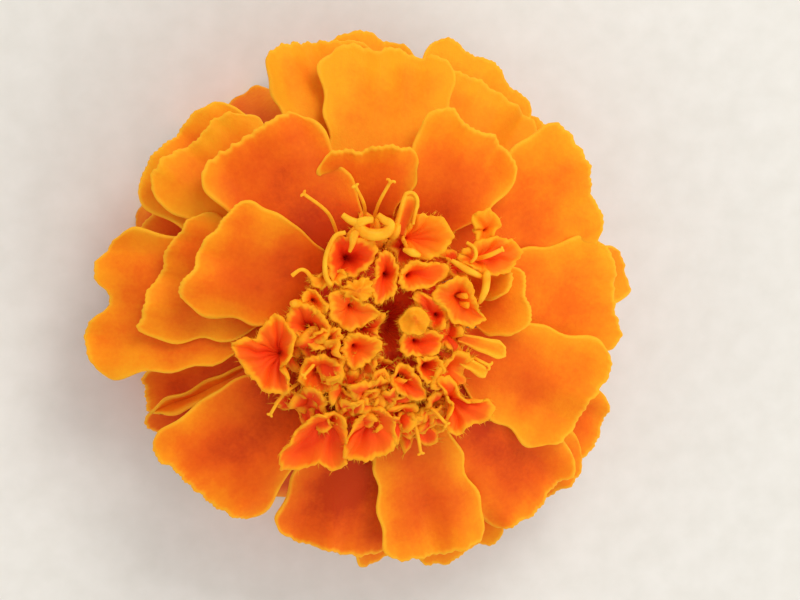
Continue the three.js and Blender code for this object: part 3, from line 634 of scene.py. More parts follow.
# ---------------------------------------------------------------- florets
def fringe(margin, outwards, count, draw):
    """Short hairs along a margin: three-sided spikes with their roots in the edge."""
    points, faces = [], []
    for _ in range(count):
        here = int(next(draw) * len(margin))
        loose = np.array([next(draw), next(draw), next(draw)]) - 0.5
        way = unit(outwards[here] + loose * HAIR_STRAY + (0, 0, HAIR_LIFT))
        side = unit(np.cross(way, (0.3, 0.2, 1.0)))
        other = np.cross(way, side)
        root = margin[here] - way * HAIR_ROOT
        corner = len(points)
        for k in (0, 1, 2):
            angle = k * TURN / 3
            around = math.cos(angle) * side + math.sin(angle) * other
            points.append(root + FRINGE_WIDTH / 2 * around)
        points.append(root + way * (FRINGE_LENGTH * (0.5 + next(draw)) + HAIR_ROOT))
        faces += [(corner, corner + 2, corner + 1)]
        faces += [(corner + k, corner + (k + 1) % 3, corner + 3) for k in (0, 1, 2)]
    return np.array(points).reshape(-1, 3), faces


def crumple(points, height):
    """Moves points in millimetres by smooth folds a few millimetres apart."""
    x, y, z = points.T
    folds = [np.sin(2.1 * y + 1.3 * z) + np.sin(3.7 * y - 0.9 * x + 1),
             np.sin(1.9 * x + 1.1 * z + 2) + np.sin(3.9 * x + 0.8 * y),
             np.sin(2.3 * x + 1.7) + np.sin(2.6 * y + 0.4)]
    return points + height / 1.4 * np.stack(folds, axis=-1)


def floret_sheet(mouth, throat, foot, grid, rolled, hairs, ragged, warm, draw):
    """One open disc floret: a tube that flares from its throat to the margin through mouth."""
    rows, columns = grid
    margin = closed_curve(mouth, columns)
    steps = np.arange(columns) * np.linalg.norm(np.diff(margin, axis=0), axis=1).mean()
    outward = margin - throat
    outward[:, 2] = 0
    outward /= np.linalg.norm(outward, axis=1, keepdims=True)
    margin[:, 2] += MARGIN_WAVE * ripple(steps, MARGIN_WAVE_LENGTH, draw)
    teeth = outward * (ragged * ripple(steps, TOOTH_LENGTHS[0], draw))[:, None]
    teeth[:, 2] = ragged * ripple(steps, TOOTH_LENGTHS[1], draw)
    tube_rows = rows // 3
    levels = []
    for share in np.linspace(0, 1, tube_rows, endpoint=False):
        radius = TUBE_RADIUS + (THROAT_RADIUS - TUBE_RADIUS) * share ** 5
        levels.append(foot + (throat - foot) * share + outward * radius)
    opening = throat + outward * THROAT_RADIUS
    for share in 1 - (1 - np.linspace(0, 1, rows - tube_rows)) ** 1.4:
        level = opening + (margin - opening) * share ** 1.15
        level[:, 2] = opening[:, 2] + (margin[:, 2] - opening[:, 2]) * (1 - (1 - share) ** 1.8)
        level[:, 2] -= MARGIN_DROOP * share ** 8
        levels.append(level + teeth * share ** 5)
    surface = np.array(levels)
    hops = np.linalg.norm(np.diff(surface, axis=0), axis=2)
    rim = np.concatenate([np.cumsum(hops[::-1], axis=0)[::-1], np.zeros((1, columns))])
    roll = np.exp(-((rim - MARGIN_ROLL) / MARGIN_ROLL) ** 2)
    thick = FLORET_THICKNESS + (rolled - FLORET_THICKNESS) * roll
    thick = (thick * np.clip(0.4 + rim / MARGIN_ROLL, 0, 1))[..., None] / 2
    normal = sheet_normals(surface, True)
    upper, lower = surface + normal * thick, surface - normal * thick
    ends = [upper[0].mean(axis=0), lower[0].mean(axis=0)]
    points = np.concatenate([upper.reshape(-1, 3), lower.reshape(-1, 3), ends])
    away = surface[-1] - surface[-2]
    away /= np.maximum(np.linalg.norm(away, axis=1, keepdims=True), 1e-9)
    hair_points, hair_faces = fringe(surface[-1], away, hairs, draw)
    count = rows * columns
    faces = shell_faces(rows, columns, True, capped=True)
    faces += [tuple(index + len(points) for index in face) for face in hair_faces]
    furthest = np.full(2, rim.max())
    whole = len(points) + len(hair_points)
    return {
        "points": crumple(np.concatenate([points, hair_points]), CRUMPLE),
        "faces": faces,
        "rim": np.concatenate([np.tile(rim.ravel(), 2), furthest, np.full(len(hair_points), 0.2)]),
        "redness": np.full(whole, float(warm)),
        "inner": np.concatenate([np.ones(count), np.zeros(count), (1, 0), np.zeros(len(hair_points))]),
    }


def open_florets(material):
    """The wide open florets at their places in the crest, as a piece that the small ones clear."""
    draw = draws(SEED + 7)
    sheets = []
    for floret in OPEN_FLORETS.values():
        throat = polar([floret["throat"]])[0]
        foot = throat + (0, 0, floret.get("foot", -TUBE_DEPTH))
        sheets.append(floret_sheet(
            polar(floret["mouth"]), throat, foot, FLORET_GRID, floret.get("rolled", FLORET_RIM),
            floret["fringe"], floret.get("ragged", RAGGED), floret["warm"], draw))
    points, *rest = join_sheets(sheets)
    piece = make_piece("open_disc_florets", material, in_frame(points), *rest)
    settle(piece, "disc_florets")
    return piece


def small_floret(draw):
    """A small lobed floret standing on the origin, its lobes uneven and tilted."""
    mouth = []
    lobes = int(drawn(SMALL_LOBES, draw))
    for lobe in range(lobes):
        turn = 360 / lobes * (lobe + 0.4 * (next(draw) - 0.5))
        reach = drawn(LOBE_REACH, draw)
        height = drawn(LOBE_HEIGHT, draw)
        half_width = 66 / lobes
        mouth.append((turn - half_width, reach * 0.88, height - 0.1))
        mouth.append((turn + half_width, reach, height))
        mouth.append((turn + 180 / lobes, drawn(VALLEY_REACH, draw), drawn(VALLEY_HEIGHT, draw)))
    throat = np.array([0.25 * (next(draw) - 0.5), 0.25 * (next(draw) - 0.5), SMALL_THROAT])
    foot = np.array([0, 0, SMALL_FOOT])
    return floret_sheet(polar(mouth), throat, foot, SMALL_GRID, SMALL_RIM, SMALL_HAIRS,
                        SMALL_RAGGED, drawn(SMALL_WARMTH, draw), draw)


# ---------------------------------------------------------------- node trees
def colour(code):
    """Linear colour from an sRGB hex value."""
    parts = [int(code[i:i + 2], 16) / 255 for i in (0, 2, 4)]
    return [p / 12.92 if p <= 0.04045 else ((p + 0.055) / 1.055) ** 2.4 for p in parts] + [1]


def fill(tree, node, inputs):
    """Gives a node's inputs their values or links. A node stands for its first output."""
    for key, value in inputs.items():
        if isinstance(value, bpy.types.Node):
            value = value.outputs[0]
        if isinstance(value, bpy.types.NodeSocket):
            tree.links.new(value, node.inputs[key])
        else:
            node.inputs[key].default_value = value


def add(tree, kind, inputs=None, stops=None, **settings):
    """Adds a node, and sets its properties, its inputs and its ramp."""
    node = tree.nodes.new(kind)
    for key, value in settings.items():
        setattr(node, key, value)
    fill(tree, node, inputs or {})
    if stops:
        elements = node.color_ramp.elements
        elements[0].position, elements[0].color = stops[0][0], colour(stops[0][1])
        elements[1].position, elements[1].color = stops[-1][0], colour(stops[-1][1])
        for place, code in stops[1:-1]:
            elements.new(place).color = colour(code)
    return node


def new_tree(name, sockets):
    """A geometry tree with named inputs; gives the tree and its inputs by name."""
    tree = bpy.data.node_groups.new(name, "GeometryNodeTree")
    tree.interface.new_socket("Geometry", in_out="INPUT", socket_type="NodeSocketGeometry")
    for key, kind in sockets.items():
        tree.interface.new_socket(key, in_out="INPUT", socket_type="NodeSocket" + kind)
    tree.interface.new_socket("Geometry", in_out="OUTPUT", socket_type="NodeSocketGeometry")
    return tree, tree.nodes.new("NodeGroupInput").outputs


def finish_tree(tree, geometry, given):
    """Ends a tree: instances made real, shaded smooth, and given their material."""
    whole = add(tree, "GeometryNodeRealizeInstances", {"Geometry": geometry})
    smooth = add(tree, "GeometryNodeSetShadeSmooth", {"Geometry": whole})
    painted = add(tree, "GeometryNodeSetMaterial", {"Geometry": smooth, "Material": given["Material"]})
    add(tree, "NodeGroupOutput", {"Geometry": painted})


def change_points(mesh, change):
    """Puts a mesh's points, in metres, where change(points) says."""
    points = np.zeros(len(mesh.vertices) * 3)
    mesh.vertices.foreach_get("co", points)
    mesh.vertices.foreach_set("co", change(points.reshape(-1, 3)).ravel())
    mesh.update()


def grow(name, start, tree, values):
    """Runs a tree on a mesh, and gives its result as a plain mesh object in the part's frame."""
    seed = put_in_scene(name + "_seed", start)
    modifier = seed.modifiers.new("grow", "NODES")
    modifier.node_group = tree
    for item in tree.interface.items_tree:
        if item.item_type == "SOCKET" and item.in_out == "INPUT" and item.name in values:
            modifier[item.identifier] = values[item.name]
    graph = bpy.context.evaluated_depsgraph_get()
    mesh = bpy.data.meshes.new_from_object(seed.evaluated_get(graph), preserve_all_data_layers=True,
                                           depsgraph=graph)
    bpy.data.objects.remove(seed)
    mesh.name = name
    change_points(mesh, lambda points: in_frame(points / MM))
    return put_in_scene(name, mesh)


def points_mesh(name, points, edges, attributes):
    """A mesh of bare points and edges, for a tree to start from."""
    mesh = bpy.data.meshes.new(name)
    mesh.from_pydata([tuple(p) for p in points], edges, [])
    for key, values in attributes.items():
        mesh.attributes.new(key, "FLOAT", "POINT").data.foreach_set("value", values)
    return mesh


def crest_tree():
    """Small florets in a golden-angle spiral over the crest, none where a place is kept clear."""
    tree, given = new_tree("small_florets", {
        "Florets": "Collection", "Count": "Int", "Centre": "Vector", "Outer": "Float", "Foot": "Float",
        "Drop": "Float", "Spread": "Float", "Jitter": "Float", "Seed": "Int", "Cover": "Object",
        "Below": "Vector", "Above": "Float", "Material": "Material"})
    index = add(tree, "GeometryNodeInputIndex")
    share = add(tree, "ShaderNodeMath", {0: index, 1: given["Count"]}, operation="DIVIDE")
    root = add(tree, "ShaderNodeMath", {0: share}, operation="SQRT")
    reach = add(tree, "ShaderNodeMath", {0: root, 1: given["Outer"]}, operation="MULTIPLY")
    turn = add(tree, "ShaderNodeMath", {0: index, 1: GOLDEN_ANGLE}, operation="MULTIPLY")
    bearing = add(tree, "ShaderNodeVectorRotate", {"Vector": (1, 0, 0), "Angle": turn},
                  rotation_type="Z_AXIS")
    flat = add(tree, "ShaderNodeVectorMath", {"Vector": bearing, "Scale": reach}, operation="SCALE")
    outness = add(tree, "ShaderNodeMath", {0: reach, 1: given["Outer"]}, operation="DIVIDE")
    cube = add(tree, "ShaderNodeMath", {0: outness, 1: 3.0}, operation="POWER")
    sunk = add(tree, "ShaderNodeMath", {0: cube, 1: given["Drop"]}, operation="MULTIPLY")
    height = add(tree, "ShaderNodeMath", {0: given["Foot"], 1: sunk}, operation="SUBTRACT")
    lift = add(tree, "ShaderNodeCombineXYZ", {"Z": height})
    dome = add(tree, "ShaderNodeVectorMath", {0: flat, 1: lift}, operation="ADD")
    place = add(tree, "ShaderNodeVectorMath", {0: dome, 1: given["Centre"]}, operation="ADD")
    points = add(tree, "GeometryNodePoints", {"Count": given["Count"], "Position": place})
    stray = add(tree, "FunctionNodeRandomValue", {
        0: (-1, -1, -1), 1: (1, 1, 1), "Seed": given["Seed"]}, data_type="FLOAT_VECTOR")
    shift = add(tree, "ShaderNodeVectorMath", {"Vector": stray, "Scale": given["Jitter"]},
                operation="SCALE")
    strewn = add(tree, "GeometryNodeSetPosition", {"Geometry": points, "Offset": shift})
    here = add(tree, "GeometryNodeInputPosition")
    level = add(tree, "ShaderNodeVectorMath", {0: here, 1: (1, 1, 0)}, operation="MULTIPLY")
    far = add(tree, "ShaderNodeVectorMath", {0: level}, operation="LENGTH")
    lean = add(tree, "ShaderNodeMath", {0: far.outputs["Value"], 1: given["Spread"]},
               operation="MULTIPLY")
    leaning = add(tree, "ShaderNodeMath", {0: lean, 1: given["Outer"]}, operation="DIVIDE")
    lean_way = add(tree, "ShaderNodeVectorMath", {0: level}, operation="NORMALIZE")
    sideways = add(tree, "ShaderNodeVectorMath", {
        "Vector": lean_way, "Scale": leaning}, operation="SCALE")
    wobble = add(tree, "FunctionNodeRandomValue", {
        0: (-CREST_WOBBLE, -CREST_WOBBLE, 0.9), 1: (CREST_WOBBLE, CREST_WOBBLE, 1.1),
        "Seed": given["Seed"], "ID": index}, data_type="FLOAT_VECTOR")
    aim = add(tree, "ShaderNodeVectorMath", {0: sideways, 1: wobble}, operation="ADD")
    aimed = add(tree, "ShaderNodeVectorMath", {0: aim}, operation="NORMALIZE")
    kept_aim = add(tree, "GeometryNodeStoreNamedAttribute", {
        "Geometry": strewn, "Name": "aim", "Value": aimed},
        data_type="FLOAT_VECTOR")
    cover = add(tree, "GeometryNodeObjectInfo", {"Object": given["Cover"]})
    clear = add(tree, "GeometryNodeInputNamedAttribute", {"Name": "clear"})
    taken = []
    for tall in (0.0, FLORET_TALL * MM):
        end = add(tree, "ShaderNodeVectorMath", {
            0: aimed, 1: (tall, tall, tall), 2: here}, operation="MULTIPLY_ADD")
        flat_end = add(tree, "ShaderNodeVectorMath", {0: end, 1: (1, 1, 0)}, operation="MULTIPLY")
        nearest = add(tree, "GeometryNodeSampleNearest", {
            "Geometry": given["Geometry"], "Sample Position": flat_end})
        kept = add(tree, "GeometryNodeSampleIndex", {
            "Geometry": given["Geometry"], "Value": here, "Index": nearest},
            data_type="FLOAT_VECTOR")
        room = add(tree, "GeometryNodeSampleIndex", {
            "Geometry": given["Geometry"], "Value": clear, "Index": nearest})
        apart = add(tree, "ShaderNodeVectorMath", {0: flat_end, 1: kept}, operation="DISTANCE")
        crowded = add(tree, "FunctionNodeCompare", {0: apart.outputs["Value"], 1: room},
                      operation="LESS_THAN")
        source = add(tree, "ShaderNodeVectorMath", {0: end, 1: given["Below"]}, operation="ADD")
        covered = add(tree, "GeometryNodeRaycast", {
            "Target Geometry": cover.outputs["Geometry"], "Source Position": source,
            "Ray Direction": (0, 0, 1), "Ray Length": given["Above"]})
        taken += [crowded, covered.outputs["Is Hit"]]
    useless = taken[0]
    for reason in taken[1:]:
        useless = add(tree, "FunctionNodeBooleanMath", {0: useless, 1: reason}, operation="OR")
    thinned = add(tree, "GeometryNodeDeleteGeometry", {"Geometry": kept_aim, "Selection": useless})
    own_aim = add(tree, "GeometryNodeInputNamedAttribute", {"Name": "aim"}, data_type="FLOAT_VECTOR")
    upright = add(tree, "FunctionNodeAlignRotationToVector", {"Vector": own_aim}, axis="Z")
    twist = add(tree, "FunctionNodeRandomValue", {
        0: (0, 0, 0), 1: (0, 0, TURN), "Seed": given["Seed"]}, data_type="FLOAT_VECTOR")
    turned = add(tree, "FunctionNodeRotateRotation", {
        "Rotation": upright, "Rotate By": twist}, rotation_space="LOCAL")
    shapes = add(tree, "GeometryNodeCollectionInfo", {
        "Collection": given["Florets"], "Separate Children": True, "Reset Children": True})
    pick = add(tree, "FunctionNodeRandomValue", {4: 0, 5: FLORET_SHAPES - 1, "Seed": given["Seed"]},
               data_type="INT")
    size = add(tree, "FunctionNodeRandomValue", {
        2: SMALL_SIZES[0], 3: SMALL_SIZES[1], "Seed": given["Seed"]})
    placed = add(tree, "GeometryNodeInstanceOnPoints", {
        "Points": thinned, "Instance": shapes, "Pick Instance": True,
        "Instance Index": pick.outputs[2], "Rotation": turned, "Scale": size.outputs[1]})
    joined = add(tree, "GeometryNodeRealizeInstances", {"Geometry": placed})
    drift = add(tree, "ShaderNodeTexNoise", {"Vector": here, "Scale": BEND_SCALE, "Detail": 1.0})
    centred = add(tree, "ShaderNodeVectorMath", {0: drift.outputs["Color"], 1: (0.5, 0.5, 0.5)},
                  operation="SUBTRACT")
    bent = add(tree, "ShaderNodeVectorMath", {"Vector": centred, "Scale": BEND * MM}, operation="SCALE")
    crumpled = add(tree, "GeometryNodeSetPosition", {"Geometry": joined, "Offset": bent})
    finish_tree(tree, crumpled, given)
    return tree


def small_florets(cover, material):
    """The crest's many small florets, set by the tree from a few shapes."""
    draw = draws(SEED + 8)
    shapes = bpy.data.collections.new("floret_shapes")
    for i in range(FLORET_SHAPES):
        points, *rest = join_sheets([small_floret(draw)])
        shape = make_piece(f"floret_{i}", material, points * MM, *rest)
        bpy.context.scene.collection.objects.unlink(shape)
        shapes.objects.link(shape)
    places, clear = [], []
    for bearing, distance, radius in BARE:
        places.append(polar([(bearing, distance, 0)])[0] * MM)
        clear.append(radius * MM)
    start = points_mesh("kept_clear", places, [], {"clear": clear})
    piece = grow("small_disc_florets", start, crest_tree(), {
        "Florets": shapes, "Count": CREST_COUNT, "Centre": Vector(CREST_CENTRE) * MM,
        "Outer": CREST_OUTER * MM, "Foot": CREST_FOOT * MM, "Drop": CREST_DROP * MM,
        "Spread": CREST_SPREAD, "Jitter": CREST_JITTER * MM, "Seed": SEED, "Cover": cover,
        "Below": Vector(HEAD_AXIS - (0, 0, COVER_BELOW)) * MM, "Above": COVER_ABOVE * MM,
        "Material": material})
    for shape in list(shapes.objects):
        bpy.data.objects.remove(shape)
    bpy.data.collections.remove(shapes)
    settle(piece, "disc_florets")


def strand_tree():
    """Round strands along edges, as thick at each point as its girth."""
    tree, given = new_tree("strands", {"Sides": "Int", "Smoothness": "Int", "Material": "Material"})
    path = add(tree, "GeometryNodeMeshToCurve", {"Mesh": given["Geometry"]})
    kind = add(tree, "GeometryNodeCurveSplineType", {"Curve": path}, spline_type="CATMULL_ROM")
    fine = add(tree, "GeometryNodeSetSplineResolution", {
        "Geometry": kind, "Resolution": given["Smoothness"]})
    section = add(tree, "GeometryNodeCurvePrimitiveCircle", {"Resolution": given["Sides"], "Radius": 1.0})
    girth = add(tree, "GeometryNodeInputNamedAttribute", {"Name": "girth"})
    rods = add(tree, "GeometryNodeCurveToMesh", {
        "Curve": fine, "Profile Curve": section, "Scale": girth,
        "Fill Caps": True})
    finish_tree(tree, rods, given)
    return tree


def strand_mesh(name, strands):
    """Bare paths for the strand tree, from lists of x, y, z, girth points in millimetres."""
    points, edges, girth = [], [], []
    for strand in strands:
        first = len(points)
        points += [tuple(np.array(p[:3]) * MM) for p in strand]
        girth += [p[3] * MM for p in strand]
        edges += [(first + i, first + i + 1) for i in range(len(strand) - 1)]
    return points_mesh(name, points, edges, {"girth": girth})


def style_strands(style):
    """A style and the two arms that curl away at its tip."""
    foot, tip = polar([style["foot"], style["tip"]])
    bow = style.get("bow", 0) * unit(np.cross(tip - foot, (0, 0, 1)))
    middle = (foot + tip) / 2 + (0, 0, STYLE_ARCH) + bow
    way = unit(tip - middle)
    side = unit(np.cross(way, (0, 0, 1)))
    girth = style.get("girth", STYLE_GIRTH)
    strands = [[(*foot, girth), (*middle, girth), (*tip, girth * 0.95)]]
    for hand in (-1, 1):
        arm = [(*tip, girth * 0.95)]
        for ahead, aside, wide in STYLE_ARM:
            place = tip + style["arms"] * (ahead * way + aside * hand * side)
            arm.append((*place, girth * wide))
        strands.append(arm)
    return strands


def styles(tree, material):
    """The styles, and the thick hooked ones and rolled edges between them."""
    strands = []
    for style in STYLES:
        strands += style_strands(style)
    for path in STRANDS.values():
        strands.append([(*place, point[3]) for place, point in zip(polar(path), path)])
    piece = grow("styles", strand_mesh("style_paths", strands), tree, {
        "Sides": 8, "Smoothness": 6, "Material": material})
    settle(piece, "disc_florets")


def ray_tubes(tree, material):
    """The tubes of the ray florets, from the receptacle up through the cup to every petal."""
    strands = []
    for petals, root, _, _, distance in WHORLS.values():
        for petal in petals:
            turn, base = petal["turn"], root["base"] + petal.get("level", 0)
            path = [(turn, distance - 0.8, TUBES_BOTTOM), (turn, distance - 0.1, TUBE_LEVELS[0]),
                    (turn, distance, TUBE_LEVELS[1]),
                    (turn, (distance + root["start"]) / 2, base - 0.5),
                    (turn, root["start"] + 0.4, base - 1.1), (turn, root["start"] + 1.6, base - 0.9)]
            strands.append([(*place, wide) for place, wide in zip(polar(path), TUBE_GIRTHS)])
    piece = grow("ray_floret_tubes", strand_mesh("tube_paths", strands), tree, {
        "Sides": 8, "Smoothness": 5, "Material": material})
    settle(piece, "ray_florets")


# ---------------------------------------------------------------- turned pieces
def turned_piece(name, profile, wave, sides, material, lean=0.0):
    """A closed turned piece: profile is points up its outside, wave(angle, height) what is added to
    the radius, and lean how far it follows the crest off the axis."""
    profile = np.array(profile, float)
    along = travelled(profile)
    even = np.linspace(0, along[-1], TURNED_ROWS)
    radius, height = (np.interp(even, along, profile[:, axis]) for axis in (0, 1))
    angle = np.linspace(0, TURN, sides, endpoint=False)
    radius, spin = np.meshgrid(radius, angle, indexing="ij")
    height = np.repeat(height[:, None], sides, axis=1)
    radius = radius + wave(spin, height)
    points = np.stack([radius * np.cos(spin), radius * np.sin(spin), height], axis=-1)
    ends = np.array([[0, 0, profile[0, 1]], [0, 0, profile[-1, 1]]])
    faces = []
    for row in range(TURNED_ROWS - 1):
        for column in range(sides):
            a, b = row * sides + column, row * sides + (column + 1) % sides
            faces.append((a, b, b + sides, a + sides))
    count = TURNED_ROWS * sides
    for column in range(sides):
        after = (column + 1) % sides
        faces.append((count, after, column))
        faces.append((count + 1, count - sides + column, count - sides + after))
    points = np.concatenate([points.reshape(-1, 3), ends])
    points = points + lean * smooth_step(points[:, 2:], *LEAN_HEIGHTS) * CREST_CENTRE
    return make_piece(name, material, in_frame(points), faces)


def crest_core(material):
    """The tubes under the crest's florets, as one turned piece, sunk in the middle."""
    def flutes(angle, height):
        return CORE_FLUTE * np.cos(angle * CORE_FLUTES) * smooth_step(height, 14.6, 17.0)
    piece = turned_piece("disc_floret_tubes", CORE_PROFILE, flutes, 4 * CORE_FLUTES, material, CORE_LEAN)
    settle(piece, "disc_florets")


def stem(material):
    """The ribbed stub with the receptacle, which the florets stand on."""
    def ribs(angle, height):
        return STEM_RIB * np.cos(angle * STEM_RIBS) * (1 - smooth_step(height, 2.4, 5.0)) * (height > 0)
    profile = STEM_PROFILE + [(1.2, STEM_TOP)]
    piece = turned_piece("flower_stalk", profile, ribs, 12 * STEM_RIBS, material)
    settle(piece, "stem")


def involucre(material):
    """The cup of bracts grown together, each ending in a tooth."""
    inner = np.array(CUP_PROFILE)
    heights = np.linspace(inner[0, 1], inner[-1, 1], 44)
    radii = np.interp(heights, inner[:, 1], inner[:, 0])
    sides = CUP_TEETH * 26
    angle = np.linspace(0, TURN, sides, endpoint=False)
    across = np.abs((angle * CUP_TEETH / TURN) % 1 - 0.5) * 2
    share = np.linspace(0, 1, len(heights))[:, None]
    tooth = TOOTH_HEIGHT * (1 - across) ** 1.2 * share ** 3
    wall = CUP_WALL * (1 - 0.55 * share ** 4)
    seam = -CUP_SEAM * np.exp(-(across - 1) ** 2 / 0.004)
    streaks = CUP_STREAK * np.cos(angle * CUP_TEETH * CUP_STREAKS)
    rib = CUP_RIB * np.cos(across * math.pi / 2) + seam + streaks
    outside = radii[:, None] + wall + rib * np.sin(np.clip(share * 1.15, 0, 1) * math.pi) ** 0.3
    inside = np.repeat(radii[:, None], sides, axis=1)
    level = heights[:, None] + tooth
    sheets = []
    for radius in (inside, outside):
        sheets.append(np.stack([radius * np.cos(angle), radius * np.sin(angle), level], axis=-1))
    points = in_frame(np.concatenate([sheet.reshape(-1, 3) for sheet in sheets]))
    piece = make_piece("involucre_cup", material, points, shell_faces(len(heights), sides, True))
    settle(piece, "involucre")
    return piece


def gland_tree():
    """Small oval oil glands lying in a skin, well apart."""
    tree, given = new_tree("oil_glands", {
        "Apart": "Float", "Size": "Float", "Seed": "Int", "Material": "Material"})
    spots = add(tree, "GeometryNodeDistributePointsOnFaces", {
        "Mesh": given["Geometry"], "Distance Min": given["Apart"], "Density Max": GLAND_DENSITY / MM ** 2,
        "Seed": given["Seed"]}, distribute_method="POISSON")
    here = add(tree, "GeometryNodeInputPosition")
    level = add(tree, "ShaderNodeVectorMath", {0: here, 1: (1, 1, 0)}, operation="MULTIPLY")
    outward = add(tree, "ShaderNodeVectorMath", {0: level, 1: spots.outputs["Normal"]},
                  operation="DOT_PRODUCT")
    inside = add(tree, "FunctionNodeCompare", {0: outward.outputs["Value"], 1: 0.0},
                 operation="LESS_THAN")
    outer = add(tree, "GeometryNodeDeleteGeometry", {
        "Geometry": spots.outputs["Points"], "Selection": inside}, domain="POINT")
    ball = add(tree, "GeometryNodeMeshIcoSphere", {"Radius": given["Size"], "Subdivisions": 2})
    oval = add(tree, "GeometryNodeTransform", {"Geometry": ball, "Scale": (0.7, 1.7, 0.35)})
    seated = add(tree, "GeometryNodeInstanceOnPoints", {
        "Points": outer, "Instance": oval, "Rotation": spots.outputs["Rotation"]})
    finish_tree(tree, seated, given)
    return tree


def oil_glands(cup, material):
    """Oil glands all over the outside of the cup."""
    skin = cup.data.copy()
    change_points(skin, lambda points: points - HEAD_AXIS * MM)
    piece = grow("involucre_oil_glands", skin, gland_tree(), {
        "Apart": GLAND_APART * MM, "Size": GLAND_SIZE * MM, "Seed": SEED, "Material": material})
    settle(piece, "involucre")


# ---------------------------------------------------------------- materials
# Sizes that the patterns are worked out from
BLOTCH = 4.0  # patches of redder tissue
SPECKLE = 0.35  # groups of cells
PETAL_CELL = 0.2  # the cells themselves are too fine to show: drawn coarser
VEIN_WIDTH, VEIN_LENGTH = 0.8, 12.0
RIM_WANDER = 0.9  # how often the pale rim grows wider or narrower
FLORET_BLOTCH = 2.0
FUZZ = 0.25  # the fuzz itself is too fine to show: drawn coarser, as relief
RELIEF = 0.1  # height of the skin's relief
LIGHT_DEPTH = 0.5  # how far light goes into the tissue
# A pale rim: how far from the edge it begins, how far in it is full, and how pale it is there
PETAL_PALE = (0.56, 0.14, 0.8)
FLORET_PALE = (1.15, 0.6, 0.92)
THROAT_RED = (0.6, 3.2, 0.55)  # and the red of the throat, in the same way


def new_material(name):
    """A new material: gives it, its tree and its shader."""
    material = bpy.data.materials.new(name)
    material.use_nodes = True
    tree = material.node_tree
    return material, tree, tree.nodes["Principled BSDF"]


def finish_tissue(tree, shader, skin, relief, strength, roughness, soft, depth):
    """Ends the material of a plant tissue: light goes a little way in, and the skin hardly shines."""
    bump = add(tree, "ShaderNodeBump", {
        "Height": relief, "Strength": strength, "Distance": RELIEF * MM})
    fill(tree, shader, {
        "Base Color": skin, "Normal": bump, "Roughness": roughness, "Subsurface Weight": soft,
        "Subsurface Radius": depth, "Subsurface Scale": LIGHT_DEPTH * MM, "Specular IOR Level": 0.1})


def petal_tissue():
    """Fresh ray floret tissue: velvety cells, orange to red, paler at a fine yellow rim."""
    material, tree, shader = new_material("marigold_petal_velvet")
    # redness carries each petal's warm value, which is partly painted shade on petals turned away from
    # the key light.
    red, rim = (add(tree, "ShaderNodeAttribute", attribute_name=key).outputs["Fac"]
                for key in ("redness", "rim"))
    place = add(tree, "ShaderNodeTexCoord").outputs["Object"]
    uv = add(tree, "ShaderNodeTexCoord").outputs["UV"]
    blotch = add(tree, "ShaderNodeTexNoise", {
        "Vector": place, "Scale": 1 / (BLOTCH * MM), "Detail": 3.0})
    centred = add(tree, "ShaderNodeMath", {0: blotch, 1: 0.5}, operation="SUBTRACT")
    warmed = add(tree, "ShaderNodeMath", {0: centred, 1: 0.7, 2: red}, operation="MULTIPLY_ADD")
    streaks = add(tree, "ShaderNodeMapping", {
        "Vector": uv, "Scale": (1 / VEIN_WIDTH, 1 / VEIN_LENGTH, 1.0)})
    vein = add(tree, "ShaderNodeTexNoise", {"Vector": streaks, "Scale": 1.0, "Detail": 2.0})
    veined = add(tree, "ShaderNodeMath", {0: vein, 1: 0.1, 2: warmed}, operation="MULTIPLY_ADD")
    speckle = add(tree, "ShaderNodeTexNoise", {
        "Vector": place, "Scale": 1 / (SPECKLE * MM), "Detail": 2.0})
    speckled = add(tree, "ShaderNodeMath", {0: speckle, 1: 0.2, 2: veined}, operation="MULTIPLY_ADD")
    body = add(tree, "ShaderNodeValToRGB", {"Fac": speckled}, stops=[
        (0.0, "FFA61A"), (0.25, "FC9014"), (0.5, "F27010"), (0.75, "E4580E"), (1.0, "C63C0A")])
    wander = add(tree, "ShaderNodeTexNoise", {
        "Vector": place, "Scale": 1 / (RIM_WANDER * MM), "Detail": 1.0})
    reach = add(tree, "ShaderNodeMath", {0: wander, 1: 0.22, 2: rim}, operation="MULTIPLY_ADD")
    start, full, pale = PETAL_PALE
    edge = add(tree, "ShaderNodeMapRange", {"Value": reach, 1: start, 2: full, 3: 0.0, 4: pale},
               interpolation_type="SMOOTHSTEP")
    skin = add(tree, "ShaderNodeMix", {0: edge, 6: body, 7: colour("FFB628")}, data_type="RGBA")
    cells = add(tree, "ShaderNodeTexNoise", {
        "Vector": place, "Scale": 1 / (PETAL_CELL * MM), "Detail": 2.0})
    relief = add(tree, "ShaderNodeMath", {0: vein, 1: 0.6, 2: cells}, operation="MULTIPLY_ADD")
    finish_tissue(tree, shader, skin.outputs[2], relief, 0.3, 0.62, 0.25, (1.0, 0.35, 0.05))
    return material


